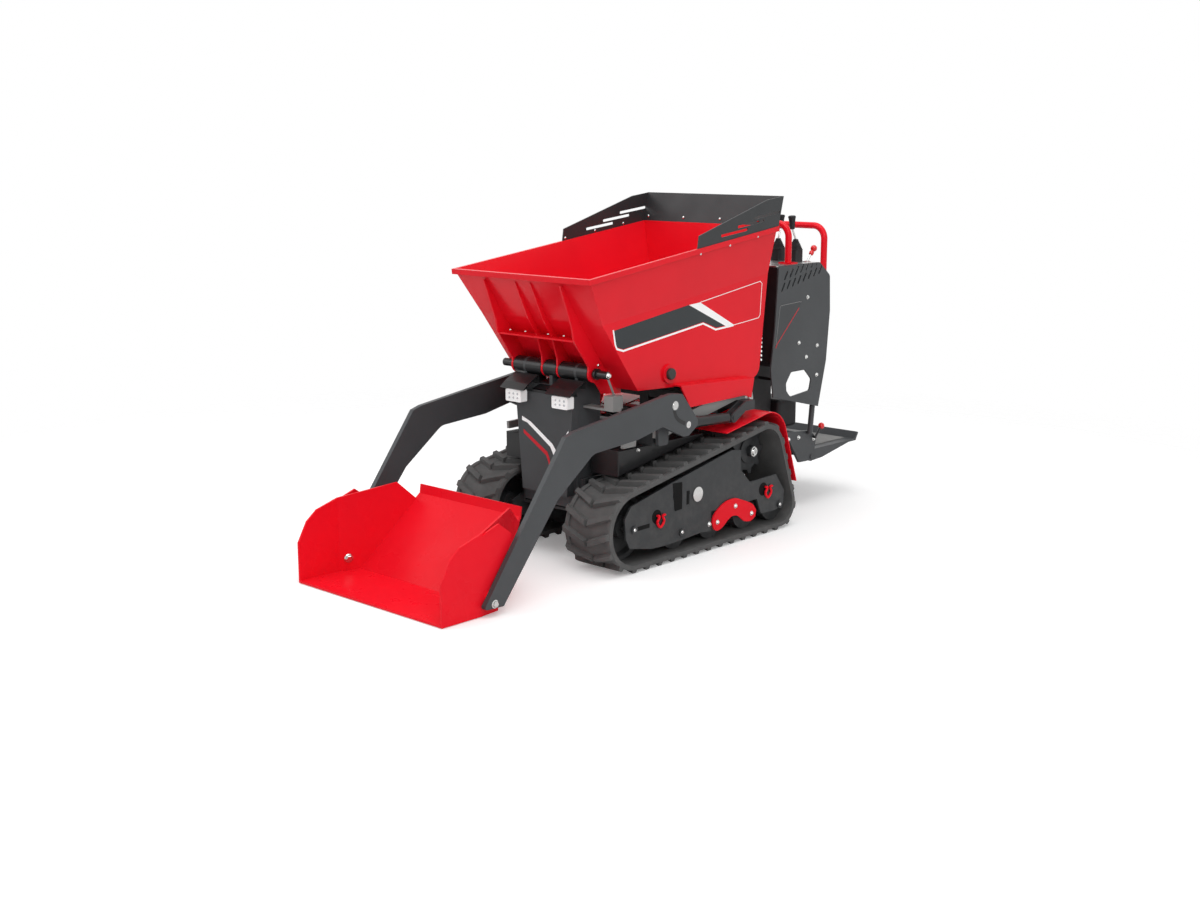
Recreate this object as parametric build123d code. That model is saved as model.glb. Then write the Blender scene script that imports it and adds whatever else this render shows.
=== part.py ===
from build123d import *
import os
from math import atan2, cos, degrees, hypot, radians, sin

# Tracked mini dumper with a front-tipping hopper, a self-loading shovel and a stand-on platform.
# Millimetres. X to the machine's left, Y to its rear, Z up, the ground at Z = 0.
# While it is modelled, Y = 0 is the middle of the track's contact with the ground; the finished
# pieces are moved along Y so that the origin is the middle of the footprint.

# Overall reach
SHOVEL_REACH = 1370.0
PLATFORM_REACH = 1250.0

# Running clearances and pins
SEAT = 0.3
PIN_GAP = 0.5
SIDE_GAP = 6.0

# Tracks
TRACK_OUTER = 415.0
TRACK_WIDTH = 230.0
LINK_PITCH = 72.0
BELT = 12.0
LUG_HEIGHT = 18.0
LUG_THICKNESS = 30.0
LUG_SWEEP = 22.0
LUG_TAPER = 12.0
LUG_ROOT = 4.0
IDLER_Y = -443.0
IDLER_RADIUS = 131.0
SPROCKET_Y = 340.0
SPROCKET_Z = 332.0
SPROCKET_RADIUS = 100.0
SPROCKET_TEETH = 9
TAIL_Y = 452.0
TAIL_RADIUS = 72.0
ROLLER_RADIUS = 70.0
ROLLER_YS = (-171.0, 45.0, 263.0)
AXLE_RADIUS = 15.0

# Track frames and fenders
SIDE_PLATE = 8.0
SIDE_PLATE_INSET = 15.0
INNER_PLATE_X = 200.0
BOGIE_PLATE = 6.0
SHACKLE_WIRE = 5.0
FENDER_SHEET = 4.0
FENDER_ROUND = 115.0
FENDER_INSET = 48.0

# Chassis
CHASSIS_HALF = 165.0
CHASSIS_PLATE = 10.0
CHASSIS_FLOOR_Z = 180.0
CHASSIS_DECK_Z = 410.0
CHASSIS_FRONT_Y = -455.0
CHASSIS_REAR_Y = 700.0
TOWER_HALF = 140.0
TOWER_PLATE = 12.0
TOWER_FRONT_Y = -470.0
COVER_FRONT_Y = -506.0
REST_PAD = 18.0
REAR_BEAM_TOP = 556.0

# Hopper
HOPPER_HALF = 360.0
HOPPER_CREASE_HALF = 316.0
HOPPER_WALL = 6.0
RIM_FRONT = (-637.0, 1086.0)
RIM_REAR_Y = 465.0
RIM_SLOPE = 0.1307
CREASE_FRONT = (-523.0, 913.0)
CREASE_REAR_Y = 454.0
BOTTOM_FRONT = (-331.0, 655.0)
BOTTOM_CORNER = (406.0, 624.0)
BOTTOM_ROUND = 50.0
LIP = 20.0
LIP_RETURN = 6.0
LIP_SHEET = 4.0
RIB_PLATE = 8.0
RIB_INNER_X = 40.0
RIB_OUTER_X = 200.0
SHELF_Z = 848.0
SHELF_PLATE = 6.0
GUARD_PLATE = 5.0
RAIL_PLATE = 6.0
RAIL_DROP = 42.0

# Hopper hinge
HINGE_Y = -445.0
HINGE_Z = 720.0
HINGE_PIN = 15.0
HINGE_TUBE = 33.0
HINGE_REACH = 272.0

# Lamps
LAMP_X = 123.0
LAMP_WIDTH = 82.0
LAMP_HEIGHT = 46.0
LAMP_Z = 615.0

# Tip cylinder, in the middle plane
TIP_BASE = (300.0, 340.0)
TIP_EYE = (-250.0, 570.0)
TIP_BARREL = 32.0
TIP_ROD = 16.0
TIP_BARREL_LENGTH = 400.0
TIP_ROD_START = 170.0
TIP_EYE_WIDTH = 44.0

# Loader
ARM_OUTER = 414.0
ARM_PLATE = 20.0
LIFT_X = 377.5
LIFT_PIVOT = (-231.0, 599.0)
LIFT_PIN = (-154.0, 517.0)
LIFT_BASE = (150.0, 500.0)
LIFT_BARREL = 21.0
LIFT_ROD = 12.0
LIFT_BARREL_LENGTH = 236.0
LIFT_ROD_START = 40.0
LIFT_EYE_WIDTH = 22.0
PIVOT_PIN = 17.0
POST_X = 344.0
POST_PLATE = 14.0
SHOVEL_HALF = 389.0
SHOVEL_WALL = 8.0
SHOVEL_BASE = 2.0

# Engine
ENGINE_HALF = 170.0
ENGINE_Y = (490.0, 690.0)
ENGINE_TOP = 640.0

# Console
CONSOLE_HALF = 300.0
CONSOLE_PLATE = 6.0
CONSOLE_TOP_SHEET = 4.0
CONSOLE_TOP_Z = 1063.0
CONSOLE_FRONT_Y = 523.0
CONSOLE_REAR_Y = 923.0
RAIL_TUBE = 14.0
RAIL_X = 250.0
RAIL_FRONT_Y = 680.0
RAIL_REAR_Y = 937.0
RAIL_FRONT_TOP = 1240.0
RAIL_REAR_TOP = 1222.0
RAIL_BEND = 55.0

# Rear step
PLATFORM_HALF = 250.0
PLATFORM_SHEET = 5.0
BRACKET_PLATE = 12.0
FOLD_Y = 868.0
FOLD_Z = 218.0
FOLD_PIN = 10.0
DECK_Z = 245.0
MAT = 4.0

# Worked-out values
TRACK_INNER = TRACK_OUTER - TRACK_WIDTH
TRACK_MIDDLE = TRACK_OUTER - TRACK_WIDTH / 2
TREAD = BELT + LUG_HEIGHT
IDLER_Z = IDLER_RADIUS + TREAD
TAIL_Z = TAIL_RADIUS + TREAD
ROLLER_Z = ROLLER_RADIUS + TREAD
SIDE_PLATE_X = TRACK_OUTER - SIDE_PLATE_INSET
CREASE_REAR = (CREASE_REAR_Y, CREASE_FRONT[1] + RIM_SLOPE * (CREASE_REAR_Y - CREASE_FRONT[0]))
RIM_REAR = (RIM_REAR_Y, RIM_FRONT[1] + RIM_SLOPE * (RIM_REAR_Y - RIM_FRONT[0]))
ARM_INNER = ARM_OUTER - ARM_PLATE
BOTTOM_SLOPE = (BOTTOM_CORNER[1] - BOTTOM_FRONT[1]) / (BOTTOM_CORNER[0] - BOTTOM_FRONT[0])
CHASSIS_TOP_Z = CHASSIS_DECK_Z + CHASSIS_PLATE
MIDDLE_SHIFT = (SHOVEL_REACH - PLATFORM_REACH) / 2


def box(x_range, y_range, z_range):
    """A block between two values on each axis."""
    size = [high - low for low, high in (x_range, y_range, z_range)]
    middle = [(low + high) / 2 for low, high in (x_range, y_range, z_range)]
    return Pos(*middle) * Box(*size)


def side_plate(points, x_low, thickness):
    """A plate that stands lengthwise: its outline in (y, z), and its span along X."""
    outline = Plane.YZ.offset(x_low) * Polygon(*points)
    return extrude(outline, amount=thickness, dir=(1, 0, 0))


def rod_across(x_low, x_high, y, z, radius):
    """A round bar along X."""
    middle = Pos((x_low + x_high) / 2, y, z)
    return middle * Rot(0, 90, 0) * Cylinder(radius, x_high - x_low)


def ring_across(x_low, x_high, y, z, outer, bore):
    """A tube along X."""
    return rod_across(x_low, x_high, y, z, outer) - rod_across(x_low, x_high, y, z, bore)


def rod_between(start, end, x, radius):
    """A round bar between two (y, z) points in the plane at x."""
    along_y, along_z = end[0] - start[0], end[1] - start[1]
    middle = Pos(x, (start[0] + end[0]) / 2, (start[1] + end[1]) / 2)
    turn = Rot(degrees(atan2(-along_y, along_z)), 0, 0)
    return middle * turn * Cylinder(radius, hypot(along_y, along_z))


def gap(start, end):
    """How far apart two (y, z) points are."""
    return hypot(end[0] - start[0], end[1] - start[1])


def along(start, end, distance):
    """The (y, z) point at a distance from start towards end."""
    share = distance / gap(start, end)
    return (start[0] + (end[0] - start[0]) * share, start[1] + (end[1] - start[1]) * share)


def hull_plate(rounds, x_low, thickness):
    """A plate round several discs, each given as (y, z, radius)."""
    edges = [(Pos(y, z) * Circle(radius)).edge() for y, z, radius in rounds]
    face = Plane.YZ.offset(x_low) * make_hull(edges)
    return extrude(face, amount=thickness, dir=(1, 0, 0))


def bent_sheet(points, bend, thickness, x_low, width):
    """A sheet bent along X: its line in (y, z), one bend radius, thickened to the line's left."""
    line = FilletPolyline(*points, radius=bend)
    edges = offset(line, amount=thickness, side=Side.LEFT, closed=True).edges()
    face = Plane.YZ.offset(x_low) * make_face(edges)
    return extrude(face, amount=width, dir=(1, 0, 0))


def both_sides(part):
    """The part and its mirror image about the middle plane, as one compound of separate solids."""
    return Compound(children=[*part.solids(), *mirror(part, about=Plane.YZ).solids()])


def other_side(part):
    """The mirror image about the middle plane."""
    return mirror(part, about=Plane.YZ)


def wheel(profile, y, z):
    """A turned piece: its profile in (x, radius), spun about a line along X."""
    return Pos(0, y, z) * revolve(Polygon(*profile), axis=Axis.X)


# Tracks

def belt_face(depth):
    """The face inside the belt's path, in (y, z), grown outwards from the belt's inner face."""
    rounds = (
        (IDLER_Y, IDLER_Z, IDLER_RADIUS),
        (SPROCKET_Y, SPROCKET_Z, SPROCKET_RADIUS),
        (TAIL_Y, TAIL_Z, TAIL_RADIUS),
    )
    edges = [(Pos(y, z) * Circle(radius + depth)).edge() for y, z, radius in rounds]
    return make_hull(edges)


def track_lug(place, outward):
    """One chevron lug of two tapered bars on the belt, with its point towards the local -Y."""
    base = Plane(origin=place, x_dir=(1, 0, 0), z_dir=outward).offset(-LUG_ROOT)
    half = TRACK_WIDTH / 2
    thick = LUG_THICKNESS / 2
    bars = []
    for side in (1, -1):
        points = [
            (side * LUG_ROOT, -LUG_SWEEP - thick), (side * half, LUG_SWEEP - thick),
            (side * half, LUG_SWEEP + thick), (side * LUG_ROOT, -LUG_SWEEP + thick)]
        outline = Polygon(*points[::side])
        bars.append(extrude(base * outline, amount=LUG_ROOT + LUG_HEIGHT, taper=LUG_TAPER))
    return bars


def track():
    """The left track: a rubber belt round idler, sprocket and tail roller, with its lugs."""
    span = Plane.YZ.offset(TRACK_INNER)
    belt = extrude(span * (belt_face(BELT) - belt_face(0)), amount=TRACK_WIDTH, dir=(1, 0, 0))
    reach = extrude(span * belt_face(TREAD), amount=TRACK_WIDTH, dir=(1, 0, 0))
    path = belt_face(BELT).wire()
    count = round(path.length / LINK_PITCH)
    centre = belt_face(BELT).center()
    lugs = []
    for link in range(count):
        at = path.position_at(link / count)
        run = path.tangent_at(link / count)
        outward = Vector(0, run.Y, -run.X)
        if outward.dot(Vector(0, at.X - centre.X, at.Y - centre.Y)) < 0:
            outward = outward * -1
        lugs += track_lug((TRACK_MIDDLE, at.X, at.Y), outward)
    lugs = [lug & reach for lug in lugs]
    return belt.fuse(*lugs)


def idler():
    """The front wheel: a rim on a web and a hub."""
    rim, mid = IDLER_RADIUS - SEAT, TRACK_MIDDLE
    bore = AXLE_RADIUS + SEAT
    return wheel((
        (mid - 45, bore), (mid - 45, 38), (mid - 8, 44), (mid - 8, rim - 26), (mid - 28, rim - 18),
        (mid - 28, rim), (mid + 28, rim), (mid + 28, rim - 18), (mid + 8, rim - 26), (mid + 8, 44),
        (mid + 45, 38), (mid + 45, bore)), IDLER_Y, IDLER_Z)


def roller(y, z, radius):
    """A track roller: two treads with a groove between them for the belt's guides."""
    mid, bore = TRACK_MIDDLE, AXLE_RADIUS + SEAT
    return wheel((
        (mid - 62, bore), (mid - 62, radius), (mid - 22, radius), (mid - 16, radius - 22),
        (mid + 16, radius - 22), (mid + 22, radius), (mid + 62, radius), (mid + 62, bore)), y, z)


def sprocket():
    """The toothed drive wheel with its hub cap."""
    tip = SPROCKET_RADIUS - SEAT
    root = tip - 20
    teeth = Circle(root)
    for tooth in range(SPROCKET_TEETH):
        turn = Rot(0, 0, tooth * 360 / SPROCKET_TEETH)
        teeth += turn * Polygon((root - 8, -17), (tip - 1.2, -8), (tip - 1.2, 8), (root - 8, 17))
    face = Plane.YZ.offset(TRACK_MIDDLE - 18) * (Pos(SPROCKET_Y, SPROCKET_Z) * teeth)
    disc = extrude(face, amount=36, dir=(1, 0, 0))
    hub = wheel((
        (INNER_PLATE_X + 34, 0), (INNER_PLATE_X + 34, 52), (TRACK_MIDDLE + 24, 52),
        (TRACK_MIDDLE + 30, 24), (TRACK_MIDDLE + 50, 24), (TRACK_MIDDLE + 50, 15),
        (TRACK_MIDDLE + 44, 15), (TRACK_MIDDLE + 44, 0)), SPROCKET_Y, SPROCKET_Z)
    return disc + hub


def drive_motor():
    """The travel motor and gearbox between the chassis and the sprocket."""
    return wheel((
        (CHASSIS_HALF, 0), (CHASSIS_HALF, 66), (INNER_PLATE_X + 8, 66), (INNER_PLATE_X + 12, 58),
        (INNER_PLATE_X + 34, 58), (INNER_PLATE_X + 34, 0)), SPROCKET_Y, SPROCKET_Z)


# Track frames

def track_frame():
    """The left track frame: outer and inner plates, a box beam, and the wheels' axles."""
    top = TAIL_Z + 54
    outline = (
        (IDLER_Y - 50, IDLER_Z + 47), (IDLER_Y - 17, IDLER_Z + 90), (-229, 303), (132, 375),
        (190, 367), (192, 286), (253, 227), (TAIL_Y - 26, TAIL_Z + 130), (TAIL_Y + 32, top),
        (TAIL_Y + 27, TAIL_Z), (TAIL_Y - 27, TAIL_Z - 20), (330, 84), (300, 150), (8, 150),
        (8, 72), (-59, 77), (-150, 71), (-255, 67), (-341, 69), (IDLER_Y - 22, 93), (IDLER_Y - 44, 132))
    outer = side_plate(outline, SIDE_PLATE_X - SIDE_PLATE, SIDE_PLATE)
    outer -= box((SIDE_PLATE_X - 20, SIDE_PLATE_X + 1), (-222, -168), (193, 290))
    outer -= box((SIDE_PLATE_X - 20, SIDE_PLATE_X + 1), (-138, -124), (198, 256))
    inner = side_plate((
        (IDLER_Y - 40, IDLER_Z - 25), (IDLER_Y - 40, IDLER_Z + 25), (-300, 250), (210, 250),
        (TAIL_Y, TAIL_Z + 60), (TAIL_Y + 30, TAIL_Z + 20), (TAIL_Y + 30, TAIL_Z - 30),
        (TAIL_Y - 30, TAIL_Z - 30), (200, 70), (-300, 70)), INNER_PLATE_X, SIDE_PLATE)
    span = (INNER_PLATE_X + 1, SIDE_PLATE_X - 1)
    beam = box(span, (-290, 215), (178, 240))
    axle_span = (INNER_PLATE_X + 1, SIDE_PLATE_X + 6)
    axles = [rod_across(*axle_span, IDLER_Y, IDLER_Z, AXLE_RADIUS),
             rod_across(*axle_span, TAIL_Y, TAIL_Z, AXLE_RADIUS)]
    axles += [rod_across(*axle_span, y, ROLLER_Z, AXLE_RADIUS) for y in ROLLER_YS[:1]]
    axles += [rod_across(span[0], span[1] - 1, y, ROLLER_Z, AXLE_RADIUS) for y in ROLLER_YS[1:]]
    pivot_y = (ROLLER_YS[1] + ROLLER_YS[2]) / 2
    boss = rod_across(SIDE_PLATE_X - 1, SIDE_PLATE_X + 4, -80, 235, 22)
    frame = outer.fuse(inner, beam, boss, *axles)
    return frame - rod_across(SIDE_PLATE_X - 3, SIDE_PLATE_X + 1, pivot_y, 148, 8)


def bogie_plate():
    """The curved plate that carries the two middle rollers."""
    pivot_y = (ROLLER_YS[1] + ROLLER_YS[2]) / 2
    x_low = SIDE_PLATE_X + SEAT
    front = hull_plate(((ROLLER_YS[1], ROLLER_Z, 29), (pivot_y - 22, ROLLER_Z + 62, 16)), x_low, BOGIE_PLATE)
    rear = hull_plate(((ROLLER_YS[2], ROLLER_Z, 29), (pivot_y + 8, ROLLER_Z + 54, 22)), x_low, BOGIE_PLATE)
    crown = hull_plate(((pivot_y - 22, ROLLER_Z + 62, 16), (pivot_y + 8, ROLLER_Z + 54, 22)), x_low, BOGIE_PLATE)
    return front.fuse(rear, crown)


def shackle(y, z):
    """A tie-down shackle: a bent wire whose legs lean against the side plate."""
    x = SIDE_PLATE_X + SHACKLE_WIRE + SEAT
    path = FilletPolyline(
        (x, y - 13, z + 30), (x, y - 13, z - 22), (x, y + 13, z - 22), (x, y + 13, z + 26), radius=12)
    start = Plane(origin=path @ 0, z_dir=path % 0)
    return sweep(start * Circle(SHACKLE_WIRE), path=path)


def fender():
    """The guard over the left track: a sheet bent round the sprocket, on a chassis bracket."""
    inner_x = TRACK_INNER + FENDER_INSET
    front = (80, SPROCKET_Z + 117)
    crown = (SPROCKET_Y + 91, SPROCKET_Z + 178)
    low = (SPROCKET_Y + 206, SPROCKET_Z - 146)
    sheet = bent_sheet((front, crown, low), FENDER_ROUND, FENDER_SHEET, inner_x, TRACK_OUTER - inner_x)
    ends = [along(front, crown, reach) for reach in (152, 186)]
    bracket = side_plate(
        (ends[0], ends[1], (ends[1][0], ends[1][1] - 12), (ends[0][0], ends[0][1] - 12)),
        CHASSIS_HALF, inner_x + 30 - CHASSIS_HALF)
    return sheet + bracket


# Chassis

def chassis():
    """The main frame: side plates, floor, deck, cross tubes, cylinder clevis, posts and beams."""
    floor, top, front, rear = CHASSIS_FLOOR_Z, CHASSIS_TOP_Z, CHASSIS_FRONT_Y, CHASSIS_REAR_Y
    inner = CHASSIS_HALF - CHASSIS_PLATE / 2
    side = side_plate((
        (front, floor), (front, 320), (-330, 320), (-120, 300), (150, 300), (250, top),
        (rear, top), (rear, 300), (rear - 140, floor)),
        CHASSIS_HALF - CHASSIS_PLATE, CHASSIS_PLATE)
    clevis = side_plate(((220, floor), (390, floor), (330, 350), (300, 374), (272, 350)), 26, 12)
    post = box((118, CHASSIS_HALF), (225, 335), (302, bottom_z(225) - REST_PAD - 6))
    front_post = side_plate(((-280, 310), (-180, 301), (-202, 470), (-262, 470)), 118, 46)
    half = [side, clevis, post, front_post]
    middle = [
        box((-inner, inner), (front, rear - 141), (floor, floor + CHASSIS_PLATE)),
        box((-inner, inner), (400, rear), (CHASSIS_DECK_Z, top)),
        box((-118, 118), (rear - 70, rear - 61), (320, CHASSIS_DECK_Z + 1)),
        box((-392, 392), (226, 284), (518, REAR_BEAM_TOP)),
        box((POST_PLATE - POST_X, POST_X - POST_PLATE), (-262, -202), (440, 498)),
        rod_across(-40, 40, *TIP_BASE, 14 - SEAT),
    ]
    middle += [box((-INNER_PLATE_X, INNER_PLATE_X), (y - 30, y + 30), (182, 240)) for y in (-180, 130)]
    return side.fuse(*half[1:], *[other_side(part) for part in half], *middle)


def bottom_z(y):
    """The height of the hopper's underside at a place along it."""
    return BOTTOM_FRONT[1] + BOTTOM_SLOPE * (y - BOTTOM_FRONT[0])


def hopper_rest():
    """The rubber pad on the left rear post that the hopper's bottom lies on."""
    low = bottom_z(225) - REST_PAD - 6
    return side_plate((
        (290, low), (330, low), (330, bottom_z(330) - SEAT), (290, bottom_z(290) - SEAT)), 122, 38)


def pivot_post():
    """The left loader pivot's plate, from the front beam up to the pivot."""
    y, z = LIFT_PIVOT
    return hull_plate(((y - 19, 452, 11), (y + 17, 452, 11), (y, z, 32)), POST_X, POST_PLATE)


def side_brace():
    """The sloping flat bar beside the hopper, from the pivot's post to the rear beam."""
    return side_plate((
        (-262, 470), (-202, 470), (226, REAR_BEAM_TOP), (284, REAR_BEAM_TOP), (284, 618), (226, 606),
        (-262, 506)),
        POST_X - POST_PLATE, POST_PLATE)


def lift_mount():
    """The left lift cylinder's rear clevis, hung forward from the rear beam."""
    near, far = LIFT_X - LIFT_EYE_WIDTH / 2 - PIN_GAP, LIFT_X + LIFT_EYE_WIDTH / 2 + PIN_GAP
    rounds = ((*LIFT_BASE, 19), (220, REAR_BEAM_TOP - 30, 6), (220, REAR_BEAM_TOP - 6, 6))
    plates = [hull_plate(rounds, near - 7, 7), hull_plate(rounds, far, 7)]
    pin = rod_across(near - 7, far + 10, *LIFT_BASE, 9)
    return plates[0].fuse(plates[1], pin)


def side_box():
    """The closed box above the left track's front end."""
    outline = ((-420, 340), (80, 429), (80, 439), (-420, 439))
    body = side_plate(outline, CHASSIS_HALF - 1, 301 - CHASSIS_HALF)
    return fillet(body.edges().filter_by(GeomType.LINE).sort_by(Axis.X)[-4:], 5)


# Tower

def tower():
    """The front tower: two plates from the chassis up to the hinge, with their cross plates."""
    front, low = TOWER_FRONT_Y, CHASSIS_FLOOR_Z + 20
    x_low = TOWER_HALF - TOWER_PLATE
    plate = side_plate((
        (front, low), (front, HINGE_Z - 20), (HINGE_Y, HINGE_Z + 30), (HINGE_Y + 36, HINGE_Z),
        (HINGE_Y + 100, HINGE_Z - 80), (HINGE_Y + 100, 560), (-372, 320), (-372, low)), x_low, TOWER_PLATE)
    plate += rod_across(x_low, TOWER_HALF, HINGE_Y, HINGE_Z, HINGE_TUBE)
    plate -= rod_across(x_low - 1, TOWER_HALF + 1, HINGE_Y, HINGE_Z, HINGE_PIN + SEAT)
    back = box((-x_low - 1, x_low + 1), (-380, -372), (330, 520))
    front_wall = box((-x_low - 1, x_low + 1), (front, front + 8), (low, HINGE_Z - 60))
    cap = box((-x_low - 1, x_low + 1), (front, HINGE_Y + 96), (HINGE_Z - 68, HINGE_Z - 60))
    foot = side_plate(
        ((front + 15, low), (-373, low), (-373, 316), (front + 15, 316)),
        TOWER_HALF, CHASSIS_HALF - CHASSIS_PLATE - TOWER_HALF)
    web = side_plate((
        (front + 2, HINGE_Z - 62), (front + 2, HINGE_Z), (HINGE_Y + 28, HINGE_Z), (HINGE_Y + 50, HINGE_Z - 62)),
        -8, 16) - rod_across(-9, 9, HINGE_Y, HINGE_Z, HINGE_TUBE)
    return plate.fuse(other_side(plate), back, front_wall, cap, foot, other_side(foot), web)


def hinge_tubes():
    """The hinge's three tubes on the pin, between the ribs' lugs."""
    bore = HINGE_PIN + SEAT
    inner = (RIB_INNER_X + RIB_PLATE / 2 + SIDE_GAP / 2, TOWER_HALF - TOWER_PLATE)
    outer = (TOWER_HALF, RIB_OUTER_X - RIB_PLATE / 2 - SIDE_GAP / 2)
    middle = RIB_INNER_X - RIB_PLATE / 2 - SIDE_GAP / 2
    tubes = [ring_across(-middle, middle, HINGE_Y, HINGE_Z, HINGE_TUBE, bore)]
    for low, high in (inner, outer):
        tube = ring_across(low, high, HINGE_Y, HINGE_Z, HINGE_TUBE, bore)
        tubes += [tube, other_side(tube)]
    return Compound(children=[solid for tube in tubes for solid in tube.solids()])


def hinge_pin():
    """The hopper's hinge pin, with a collar outside each outer lug."""
    collar = RIB_OUTER_X + RIB_PLATE / 2 + SIDE_GAP
    pin = rod_across(-HINGE_REACH, HINGE_REACH, HINGE_Y, HINGE_Z, HINGE_PIN)
    left = rod_across(collar, collar + 12, HINGE_Y, HINGE_Z, HINGE_PIN + 6)
    return pin.fuse(left, other_side(left))


def front_cover():
    """The removable cover on the tower's front: a folded sheet, wider at the top."""
    outline = Polygon((-118, 250), (118, 250), (148, 580), (148, 632), (-148, 632), (-148, 580))
    depth = TOWER_FRONT_Y - COVER_FRONT_Y
    plane = Plane(origin=(0, COVER_FRONT_Y, 0), x_dir=(1, 0, 0), z_dir=(0, -1, 0))
    tray = extrude(plane * outline, amount=-depth)
    hollow = extrude(plane.offset(-4) * offset(outline, amount=-4, kind=Kind.INTERSECTION), amount=-depth)
    return tray - hollow


def lamp_hood():
    """The left lamp's hood: a bent sheet from the tower's front up and forward over the lamp."""
    back = TOWER_FRONT_Y
    points = ((back, LAMP_Z + 48), (back, LAMP_Z + 84), (back - 62, LAMP_Z + 50), (back - 88, LAMP_Z + 30))
    sheet = bent_sheet(points, 8, 5, RIB_INNER_X + 16, RIB_OUTER_X - RIB_INNER_X - 32)
    return sheet


def work_lamp():
    """The left work lamp: a box body with a recessed face, hung under its hood."""
    front = TOWER_FRONT_Y - 78
    half, tall = LAMP_WIDTH / 2, LAMP_HEIGHT / 2
    body = box((LAMP_X - half, LAMP_X + half), (front, front + 34), (LAMP_Z - tall, LAMP_Z + tall))
    body = fillet(body.edges().filter_by(Axis.Y), 6)
    body -= box((LAMP_X - half + 5, LAMP_X + half - 5), (front - 1, front + 3),
                (LAMP_Z - tall + 5, LAMP_Z + tall - 5))
    return body


def lamp_foot():
    """The strap between the left lamp and its hood."""
    return box((LAMP_X - 12, LAMP_X + 12), (TOWER_FRONT_Y - 66, TOWER_FRONT_Y - 50),
               (LAMP_Z + LAMP_HEIGHT / 2, LAMP_Z + 40.3))


def tilt_link():
    """The thin rod that hangs from the hinge pin's left end to its switch box."""
    x = HINGE_REACH - 8
    rod = rod_between((HINGE_Y + 8, HINGE_Z - HINGE_PIN + 1), (HINGE_Y + 42, HINGE_Z - 80), x, 4)
    switch = box((x - 19, x + 26), (HINGE_Y + 7, HINGE_Y + 61), (HINGE_Z - 126, HINGE_Z - 78))
    arm = box((TOWER_HALF, x + 26), (HINGE_Y + 7, HINGE_Y + 53), (HINGE_Z - 134, HINGE_Z - 126))
    return rod.fuse(switch, arm)


# Hopper

def rim_plane(front, rear):
    """The plane through a front and a rear point (y, z), square to the middle plane."""
    middle = ((front[0] + rear[0]) / 2, (front[1] + rear[1]) / 2)
    normal = (0, -(rear[1] - front[1]), rear[0] - front[0])
    return Plane(origin=(0, *middle), x_dir=(1, 0, 0), z_dir=normal)


def flare(inset):
    """The hopper's flared upper part, from the crease to the rim, drawn in by an inset."""
    front = along(RIM_FRONT, RIM_REAR, LIP_RETURN)
    rear = along(RIM_REAR, RIM_FRONT, LIP_RETURN)
    low = Rectangle(2 * (HOPPER_CREASE_HALF - inset), gap(CREASE_FRONT, CREASE_REAR) - 2 * inset)
    high = Rectangle(2 * (HOPPER_HALF - LIP_RETURN - inset), gap(front, rear) - 2 * inset)
    planes = rim_plane(CREASE_FRONT, CREASE_REAR), rim_plane(front, rear)
    return loft([planes[0] * low, planes[1] * high], ruled=True)


def trough(inset):
    """The hopper's lower part, below the crease, drawn in by an inset but open at the crease."""
    above = [along(low, high, gap(low, high) + 40) for low, high in
             ((BOTTOM_FRONT, CREASE_FRONT), (BOTTOM_CORNER, CREASE_REAR))]
    tall = Polygon(above[0], BOTTOM_FRONT, BOTTOM_CORNER, above[1])
    corner = [v for v in tall.vertices() if abs(v.X - BOTTOM_CORNER[0]) < 1]
    tall = fillet(corner, BOTTOM_ROUND)
    if inset:
        tall = offset(tall, amount=-inset, kind=Kind.INTERSECTION)
    below = Polygon(CREASE_FRONT, (CREASE_FRONT[0], 0), (CREASE_REAR[0], 0), CREASE_REAR)
    half = HOPPER_CREASE_HALF - inset
    return extrude(Plane.YZ.offset(-half) * (tall & below), amount=2 * half, dir=(1, 0, 0))


def hopper():
    """The hollow hopper: a trough with upright sides under a flared, lipped rim."""
    body = trough(0).fuse(flare(0)).cut(trough(HOPPER_WALL), flare(HOPPER_WALL))
    top = rim_plane(RIM_FRONT, RIM_REAR)
    size = 2 * HOPPER_HALF, gap(RIM_FRONT, RIM_REAR)
    margin = 2 * (LIP_RETURN + HOPPER_WALL - 1)
    outer = Rectangle(*size)
    band = outer - Rectangle(size[0] - 2 * LIP_SHEET, size[1] - 2 * LIP_SHEET)
    ledge = outer - Rectangle(size[0] - margin, size[1] - margin)
    lip = extrude(top * band, amount=-LIP).fuse(extrude(top * ledge, amount=-LIP_SHEET))
    boss = rod_across(HOPPER_CREASE_HALF - 1, HOPPER_CREASE_HALF + 9, -158, 701, 36)
    return body.fuse(lip, boss, other_side(boss))


def front_wall_y(z):
    """Where the outside of the hopper's lower front wall is at a height."""
    share = (z - BOTTOM_FRONT[1]) / (CREASE_FRONT[1] - BOTTOM_FRONT[1])
    return BOTTOM_FRONT[0] + share * (CREASE_FRONT[0] - BOTTOM_FRONT[0])


def hinge_rib(x, front_edge, lower_edge):
    """A front rib with its hinge lug, from the hopper's front wall out to its own edges."""
    high = along(CREASE_FRONT, along(RIM_FRONT, RIM_REAR, LIP_RETURN), 162)
    points = (*front_edge, *lower_edge, BOTTOM_FRONT, CREASE_FRONT, high)
    x_low = x - RIB_PLATE / 2
    rib = side_plate(points, x_low, RIB_PLATE)
    rib += rod_across(x_low, x_low + RIB_PLATE, HINGE_Y, HINGE_Z, HINGE_TUBE)
    return rib - rod_across(x_low - 1, x_low + RIB_PLATE + 1, HINGE_Y, HINGE_Z, HINGE_PIN + PIN_GAP)


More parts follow.
